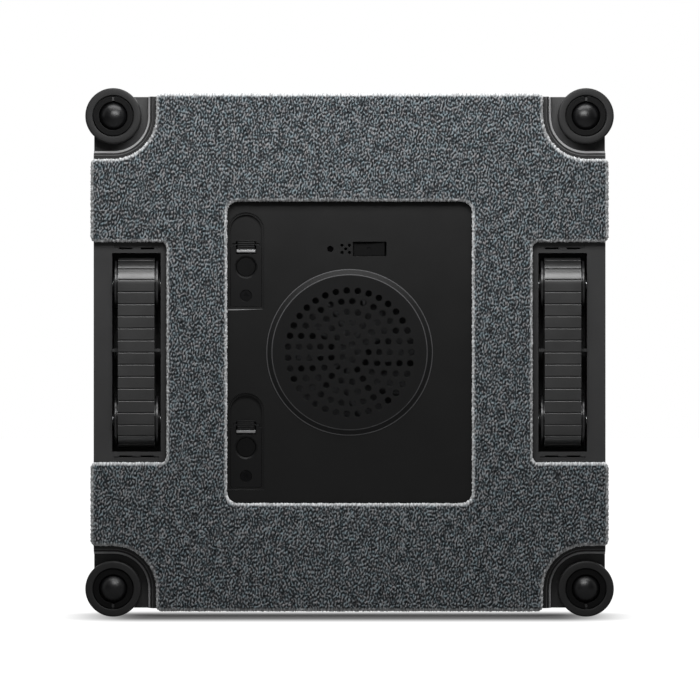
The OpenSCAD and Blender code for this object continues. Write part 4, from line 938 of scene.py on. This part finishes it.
    def _close(self, piece: Piece, back: float) -> None:
        """Draws the border back to the pad's rear and closes it there.

        Args:
            piece: The open sheet.
            back: Depth of the pad's rear in metres.
        """
        only(piece)
        bpy.ops.object.mode_set(mode="EDIT")
        bpy.ops.mesh.select_all(action="DESELECT")
        bpy.ops.mesh.select_mode(type="EDGE")
        shape = bmesh.from_edit_mesh(piece.data)
        for edge in shape.edges:
            edge.select_set(edge.is_boundary)
        bmesh.update_edit_mesh(piece.data)
        bpy.ops.mesh.extrude_region_move(TRANSFORM_OT_translate={"value": (0, back / 3, 0)})
        bpy.ops.mesh.extrude_region_move(TRANSFORM_OT_translate={"value": (0, back / 3, 0)})
        shape = bmesh.from_edit_mesh(piece.data)
        for vert in shape.verts:
            if vert.select:
                vert.co.y = back
        bmesh.update_edit_mesh(piece.data)
        bpy.ops.mesh.fill(use_beauty=False)
        bpy.ops.mesh.select_all(action="SELECT")
        bpy.ops.mesh.normals_make_consistent(inside=False)
        bpy.ops.object.mode_set(mode="OBJECT")
        only(piece)
        bpy.ops.object.shade_smooth()


@dataclass
class FrontCasing:
    """Front casing with its panel, corner pockets and fan grille."""

    edge_mm: float = 0.22
    step_mm: float = 0.35
    ledge_mm: float = 0.9
    ledge_y_mm: float = 8.0
    corner_mm: float = 90.0
    side_mm: float = 119.45
    steps_y_mm: tuple[float, float] = (5.0, 9.5)
    panel_y_mm: float = 7.0
    lip_mm: float = 0.6
    lip_x_mm: tuple[float, float] = (-58.0, -38.0)
    lip_l_mm: tuple[float, float] = (5.0, 20.0)

    def build(self, wardrobe: Wardrobe) -> None:
        """Makes and dresses the casing's pieces."""
        wardrobe.fit(softened_copy("base_plate", "front_casing", self.edge_mm, self._step), "base_plate")
        wardrobe.fit(softened_copy("fan_grille", "suction_grille", 0.2), "fan_grille")
        wardrobe.fit(softened_copy("power_rocker", "rocker_cap", 0.25), "power_rocker")

    def _step(self, start: Vector, end: Vector) -> float:
        """Gives the rounding of a latch recess's level edges and a pocket's steps, or 0 for other edges."""
        level = abs(start.y - end.y) < 0.01 * MM
        length = abs(start.x - end.x) / MM
        along_x = abs(start.z - end.z) < 0.01 * MM and self.lip_l_mm[0] < length < self.lip_l_mm[1]
        on_panel = abs(start.y - self.panel_y_mm * MM) < 0.05 * MM
        if along_x and on_panel and self.lip_x_mm[0] < start.x / MM < self.lip_x_mm[1]:
            return self.lip_mm
        for point in (start, end):
            reach = sorted((abs(point.x), abs(point.z)))
            if reach[0] < self.corner_mm * MM:
                return 0.0
            if reach[1] > self.side_mm * MM and abs(start.x - end.x) + abs(start.z - end.z) < MM:
                return 0.0
        if not level or not self.steps_y_mm[0] < start.y / MM < self.steps_y_mm[1]:
            return 0.0
        return self.ledge_mm if start.y > self.ledge_y_mm * MM else self.step_mm


@dataclass
class CornerRollers:
    """Rollers, domes and retaining rings at the four corners."""

    reach_mm: float = 110.3
    bore_mm: float = 8.76
    seat_mm: float = 9.6
    rim_mm: float = 13.0
    front_mm: float = 2.2
    back_mm: float = 12.6
    shoulder_mm: float = 4.2
    dome_mm: float = 7.0
    dome_front_mm: float = 0.2
    dome_back_mm: float = 12.6

    def build(self, wardrobe: Wardrobe) -> None:
        """Makes and dresses the corner pieces."""
        for level in Level:
            for side in Side:
                corner = f"{level.word}_{side.word}"
                place = (side.value * self.reach_mm * MM, 0.0, level.value * self.reach_mm * MM)
                wardrobe.fit(spun(f"roller_tyre_{corner}", self._tyre(), place), f"side_roller_{corner}")
                wardrobe.fit(spun(f"sensing_dome_{corner}", self._dome(), place), f"edge_plunger_{corner}")
        wardrobe.fit(softened_copy("retaining_rings", "snap_rings", 0.3), "retaining_rings")

    def _tyre(self) -> list[tuple[float, float]]:
        """Gives the closed profile of a roller."""
        return rounded_profile([
            (self.bore_mm, self.back_mm, 0), (self.bore_mm, self.shoulder_mm, 0),
            (self.seat_mm, self.shoulder_mm, 0), (self.seat_mm, self.front_mm, 0.4),
            (self.rim_mm, self.front_mm, 0.9), (self.rim_mm, self.back_mm, 0.9),
            (self.bore_mm, self.back_mm, 0),
        ])

    def _dome(self) -> list[tuple[float, float]]:
        """Gives the profile of a dome on its stem."""
        turns = [math.radians(90 * step / 20) for step in range(21)]
        dome = [(self.dome_mm * math.sin(turn), self.dome_front_mm + self.dome_mm * (1 - math.cos(turn)))
                for turn in turns]
        return dome + [(self.dome_mm, self.dome_back_mm - 0.3), (self.dome_mm - 0.3, self.dome_back_mm),
                       (0.0, self.dome_back_mm)]


@dataclass
class CrawlerTracks:
    """Belts and flanged wheels of the two crawler tracks."""

    pad_edge_mm: float = 0.5
    outer_mm: float = 12.8
    axis_y_mm: float = 13.2
    wheel_z_mm: float = 31.7
    flange_edge_mm: float = 0.2

    def build(self, wardrobe: Wardrobe) -> None:
        """Makes and dresses the tracks."""
        for side in Side:
            belt, housing = f"track_belt_{side.word}", f"track_housing_{side.word}"
            wardrobe.fit(softened_copy(belt, f"crawler_belt_{side.word}", 0.3, self._pad_edge), belt)
            wardrobe.fit(softened_copy(housing, f"track_well_{side.word}", 0.2), housing)
            for kind in ("drive", "idler"):
                node = f"{kind}_wheel_{side.word}"
                wardrobe.fit(softened_copy(node, f"flanged_{node}", self.flange_edge_mm), node)

    def _pad_edge(self, start: Vector, end: Vector) -> float:
        """Gives the rounding of the pads' outer edges across the belt, or 0 for other edges."""
        beyond = max(0.0, abs(start.z) - self.wheel_z_mm * MM)
        outer = math.hypot(start.y - self.axis_y_mm * MM, beyond) > self.outer_mm * MM
        return self.pad_edge_mm if outer and abs(start.x - end.x) > 10 * MM else 0.0


@dataclass
class PanelLatches:
    """The two latch units of the panel."""

    edge_mm: float = 0.15

    def build(self, wardrobe: Wardrobe) -> None:
        """Makes and dresses the latches."""
        wardrobe.fit(softened_copy("latch_plates", "latch_covers", self.edge_mm), "latch_plates")
        wardrobe.fit(softened_copy("screws", "cross_screws", 0.12), "screws")
        for level in Level:
            for kind in ("lever", "bar", "button"):
                node = f"latch_{kind}_{level.word}"
                wardrobe.fit(softened_copy(node, f"soft_{node}", self.edge_mm), node)


@dataclass
class RearShell:
    """Rear cover with its handle, vents, button and fittings."""

    grip_ribs: int = 21
    rib_pitch_mm: float = 3.9
    rib_l_mm: float = 10.0
    rib_w_mm: float = 1.6
    grip_top_mm: float = 78.9
    rib_rise_mm: float = 0.35

    def build(self, wardrobe: Wardrobe) -> None:
        """Makes and dresses the rear pieces."""
        for node, name, edge in (
            ("top_cover", "rear_cover", 0.5), ("handle", "carry_handle", 0.8),
            ("handle_grip", "grip_pad", 0.25),
            ("vent_grilles", "louvre_inserts", 0.3), ("start_button", "start_cap", 0.3),
            ("light_ring", "ring_lens", 0.2), ("receiver_window", "receiver_lens", 0.12),
            ("cord_gland", "lead_gland", 0.5),
        ):
            wardrobe.fit(softened_copy(node, name, edge), node)
        wardrobe.fit(self._ribs(), "handle_grip", stands_in=False)

    def _ribs(self) -> Piece:
        """Makes the grip's ribs as one piece, each a copy of the first.

        Returns:
            The joined ribs.
        """
        bpy.ops.object.select_all(action="DESELECT")
        bpy.ops.mesh.primitive_cube_add(size=1.0)
        rib = bpy.context.active_object
        rib.name = "grip_ribs"
        rib.scale = (self.rib_w_mm * MM, 2 * self.rib_rise_mm * MM, self.rib_l_mm * MM)
        rib.location = (-(self.grip_ribs - 1) / 2 * self.rib_pitch_mm * MM, self.grip_top_mm * MM, 0.0)
        place_mesh(rib)
        apply_modifier(rib, "BEVEL", width=0.3 * MM, segments=3)
        apply_modifier(rib, "ARRAY", count=self.grip_ribs, use_relative_offset=False,
                       use_constant_offset=True, constant_offset_displace=(self.rib_pitch_mm * MM, 0, 0))
        smooth(rib)
        return rib


@dataclass
class Studio:
    """Floor, lamps, background and camera of the photograph."""

    camera_back: float = 3.0
    camera_x: float = 0.0002
    camera_z: float = 0.0011
    frame_width: float = 0.3262
    floor_z: float = -0.1233
    key_place: Point = (0.0, -0.28, 0.24)
    key_size: tuple[float, float] = (0.3, 0.14)
    key_watts: float = 1.3
    top_place: Point = (0.0, -0.06, 0.52)
    top_size: tuple[float, float] = (0.6, 0.3)
    top_watts: float = 2.6
    fill_place: Point = (0.0, -0.9, 0.05)
    fill_size: tuple[float, float] = (0.9, 0.9)
    fill_watts: float = 0.25
    rear_place: Point = (0.25, 0.75, 0.5)
    rear_size: tuple[float, float] = (0.6, 0.6)
    rear_watts: float = 4.0
    sky_dim: float = 0.06
    mirror_turn: tuple[float, float] = (-0.45, 0.2)
    floor_size: float = 12.0
    floor_white: float = 0.06
    floor_bounce: float = 0.25
    foot_mid: Point = (0.0, 0.005, 0.0)
    foot_half: Point = (0.094, 0.015, 1.0)
    foot_fade: Point = (1.25, 1.0, 0.0)
    glow_least: float = 0.07
    glow_reach: float = 0.06

    def build(self) -> None:
        """Makes the camera, lamps, background and floor."""
        self._camera()
        self._lamp("key_lamp", self.key_place, self.key_size, self.key_watts)
        self._lamp("top_lamp", self.top_place, self.top_size, self.top_watts)
        self._lamp("fill_lamp", self.fill_place, self.fill_size, self.fill_watts)
        self._lamp("rear_lamp", self.rear_place, self.rear_size, self.rear_watts)
        self._world()
        self._floor()
        bpy.context.scene.view_settings.view_transform = "Standard"

    def _camera(self) -> None:
        """Makes the camera level with the robot's middle, straight in front of the glass side."""
        data = bpy.data.cameras.new("camera")
        data.sensor_width = 36.0
        data.lens = data.sensor_width * self.camera_back / self.frame_width
        data.clip_start = 0.02
        camera = bpy.data.objects.new("camera", data)
        camera.location = (self.camera_x, -self.camera_back, self.camera_z)
        camera.rotation_euler = (math.pi / 2, 0.0, 0.0)
        bpy.context.scene.collection.objects.link(camera)
        bpy.context.scene.camera = camera

    def _lamp(self, name: str, place: Point, size: tuple[float, float], watts: float) -> None:
        """Makes an area lamp that faces the robot.

        Args:
            name: The lamp's name.
            place: Where it stands, in metres.
            size: Its width and height in metres.
            watts: Its power.
        """
        data = bpy.data.lights.new(name, "AREA")
        data.shape = "RECTANGLE"
        data.size, data.size_y = size
        data.energy = watts
        lamp = bpy.data.objects.new(name, data)
        lamp.location = place
        lamp.rotation_euler = (-Vector(place)).to_track_quat("-Z", "Y").to_euler()
        lamp.visible_camera = False
        bpy.context.scene.collection.objects.link(lamp)

    def _world(self) -> None:
        """Makes a dim sky that the camera sees as white, and metal and glass only behind the robot."""
        world = bpy.data.worlds.new("studio")
        bpy.context.scene.world = world
        world.use_nodes = True
        tree = world.node_tree
        tree.nodes.clear()
        output = tree.nodes.new("ShaderNodeOutputWorld")
        mix = tree.nodes.new("ShaderNodeMixShader")
        tree.links.new(self._seen(tree), mix.inputs[0])
        for index, strength in ((1, self.sky_dim), (2, 1.0)):
            sky = tree.nodes.new("ShaderNodeBackground")
            sky.inputs["Color"].default_value = (1.0, 1.0, 1.0, 1.0)
            sky.inputs["Strength"].default_value = strength
            tree.links.new(sky.outputs[0], mix.inputs[index])
        tree.links.new(mix.outputs[0], output.inputs["Surface"])

    def _seen(self, tree: bpy.types.NodeTree) -> bpy.types.NodeSocket:
        """Tells the camera's rays, and mirror rays that run to the robot's rear, from other rays.

        Args:
            tree: The world's nodes.

        Returns:
            A socket that is 1 for those rays.
        """
        path = tree.nodes.new("ShaderNodeLightPath")
        place = tree.nodes.new("ShaderNodeTexCoord")
        axes = tree.nodes.new("ShaderNodeSeparateXYZ")
        behind = tree.nodes.new("ShaderNodeMapRange")
        behind.inputs["From Min"].default_value, behind.inputs["From Max"].default_value = self.mirror_turn
        mirror, turned, seen = (tree.nodes.new("ShaderNodeMath") for _ in range(3))
        mirror.operation, turned.operation, seen.operation = "MAXIMUM", "MULTIPLY", "MAXIMUM"
        for source, out, target, into in (
            (place, "Generated", axes, 0), (axes, "Y", behind, "Value"), (path, "Is Glossy Ray", mirror, 0),
            (path, "Is Transmission Ray", mirror, 1), (mirror, 0, turned, 0), (behind, "Result", turned, 1),
            (turned, 0, seen, 0), (path, "Is Camera Ray", seen, 1),
        ):
            tree.links.new(source.outputs[out], target.inputs[into])
        return seen.outputs[0]

    def _floor(self) -> None:
        """Makes the pale floor, which glows white for the camera.

        The glow alone reaches white, so the shadow that the lamps cast doesn't show.
        """
        bpy.ops.object.select_all(action="DESELECT")
        bpy.ops.mesh.primitive_grid_add(x_subdivisions=8, y_subdivisions=8, size=self.floor_size)
        floor = bpy.context.active_object
        floor.name = "studio_floor"
        floor.location = (0.0, 0.0, self.floor_z)
        place_mesh(floor)
        nodes = Nodes("pale floor")
        cloth = nodes.noise(3.0, 2.0)
        dull, white = self.floor_bounce, (self.floor_white,) * 3
        seen = nodes.ramp(cloth, "Fac", [(0.3, white), (0.7, tinted(white, 1.05))])
        path = nodes.add("ShaderNodeLightPath")
        colour = nodes.add("ShaderNodeMix", {6: (dull, dull, dull, 1.0)}, data_type="RGBA")
        nodes.join(path, "Is Camera Ray", colour, "Factor")
        nodes.join(seen, "Color", colour, 7)
        nodes.tree.links.new(colour.outputs[2], nodes.shader.inputs["Base Color"])
        nodes.set(Roughness=0.9, Specular_IOR_Level=0.1)
        self._whiten(nodes, path)
        floor.data.materials.append(nodes.material)

    def _whiten(self, nodes: Nodes, path: Node) -> None:
        """Lets the floor glow for the camera, dimmed round the robot's foot as a painted shadow.

        The dark patch goes by the distance from a fixed footprint. The lamps don't cast it, and it
        doesn't follow the robot's parts.

        Args:
            nodes: The floor's nodes.
            path: The floor's light path node.
        """
        place = nodes.add("ShaderNodeTexCoord")
        steps = [nodes.add("ShaderNodeVectorMath", {1: value}, operation=kind) for kind, value in (
            ("SUBTRACT", self.foot_mid), ("ABSOLUTE", (0, 0, 0)), ("SUBTRACT", self.foot_half),
            ("MAXIMUM", (0, 0, 0)), ("MULTIPLY", self.foot_fade), ("LENGTH", (0, 0, 0)))]
        nodes.join(place, "Object", steps[0], 0)
        for before, after in zip(steps, steps[1:]):
            nodes.join(before, "Vector", after, 0)
        away = nodes.add("ShaderNodeMapRange", {"From Max": self.glow_reach, "To Min": self.glow_least},
                         interpolation_type="SMOOTHSTEP")
        strength = nodes.add("ShaderNodeMath", operation="MULTIPLY")
        glow = nodes.add("ShaderNodeEmission")
        both = nodes.add("ShaderNodeAddShader")
        nodes.join(steps[-1], "Value", away, "Value")
        nodes.join(path, "Is Camera Ray", strength, 0)
        nodes.join(away, "Result", strength, 1)
        nodes.join(strength, "Value", glow, "Strength")
        nodes.join(nodes.shader, "BSDF", both, 0)
        nodes.join(glow, "Emission", both, 1)
        nodes.join(both, "Shader", nodes.output, "Surface")


def main() -> None:
    """Builds the studio, dresses the nodes and makes each sub-assembly."""
    logging.basicConfig(level=logging.INFO, format="%(name)s: %(message)s")
    Studio().build()
    wardrobe = Wardrobe(frame["record"])
    wardrobe.dress_nodes(frame["nodes"])
    LoopedPad().build(wardrobe)
    for assembly in (FrontCasing(), CornerRollers(), CrawlerTracks(), PanelLatches(), RearShell()):
        assembly.build(wardrobe)


if __name__ == "__main__":
    main()
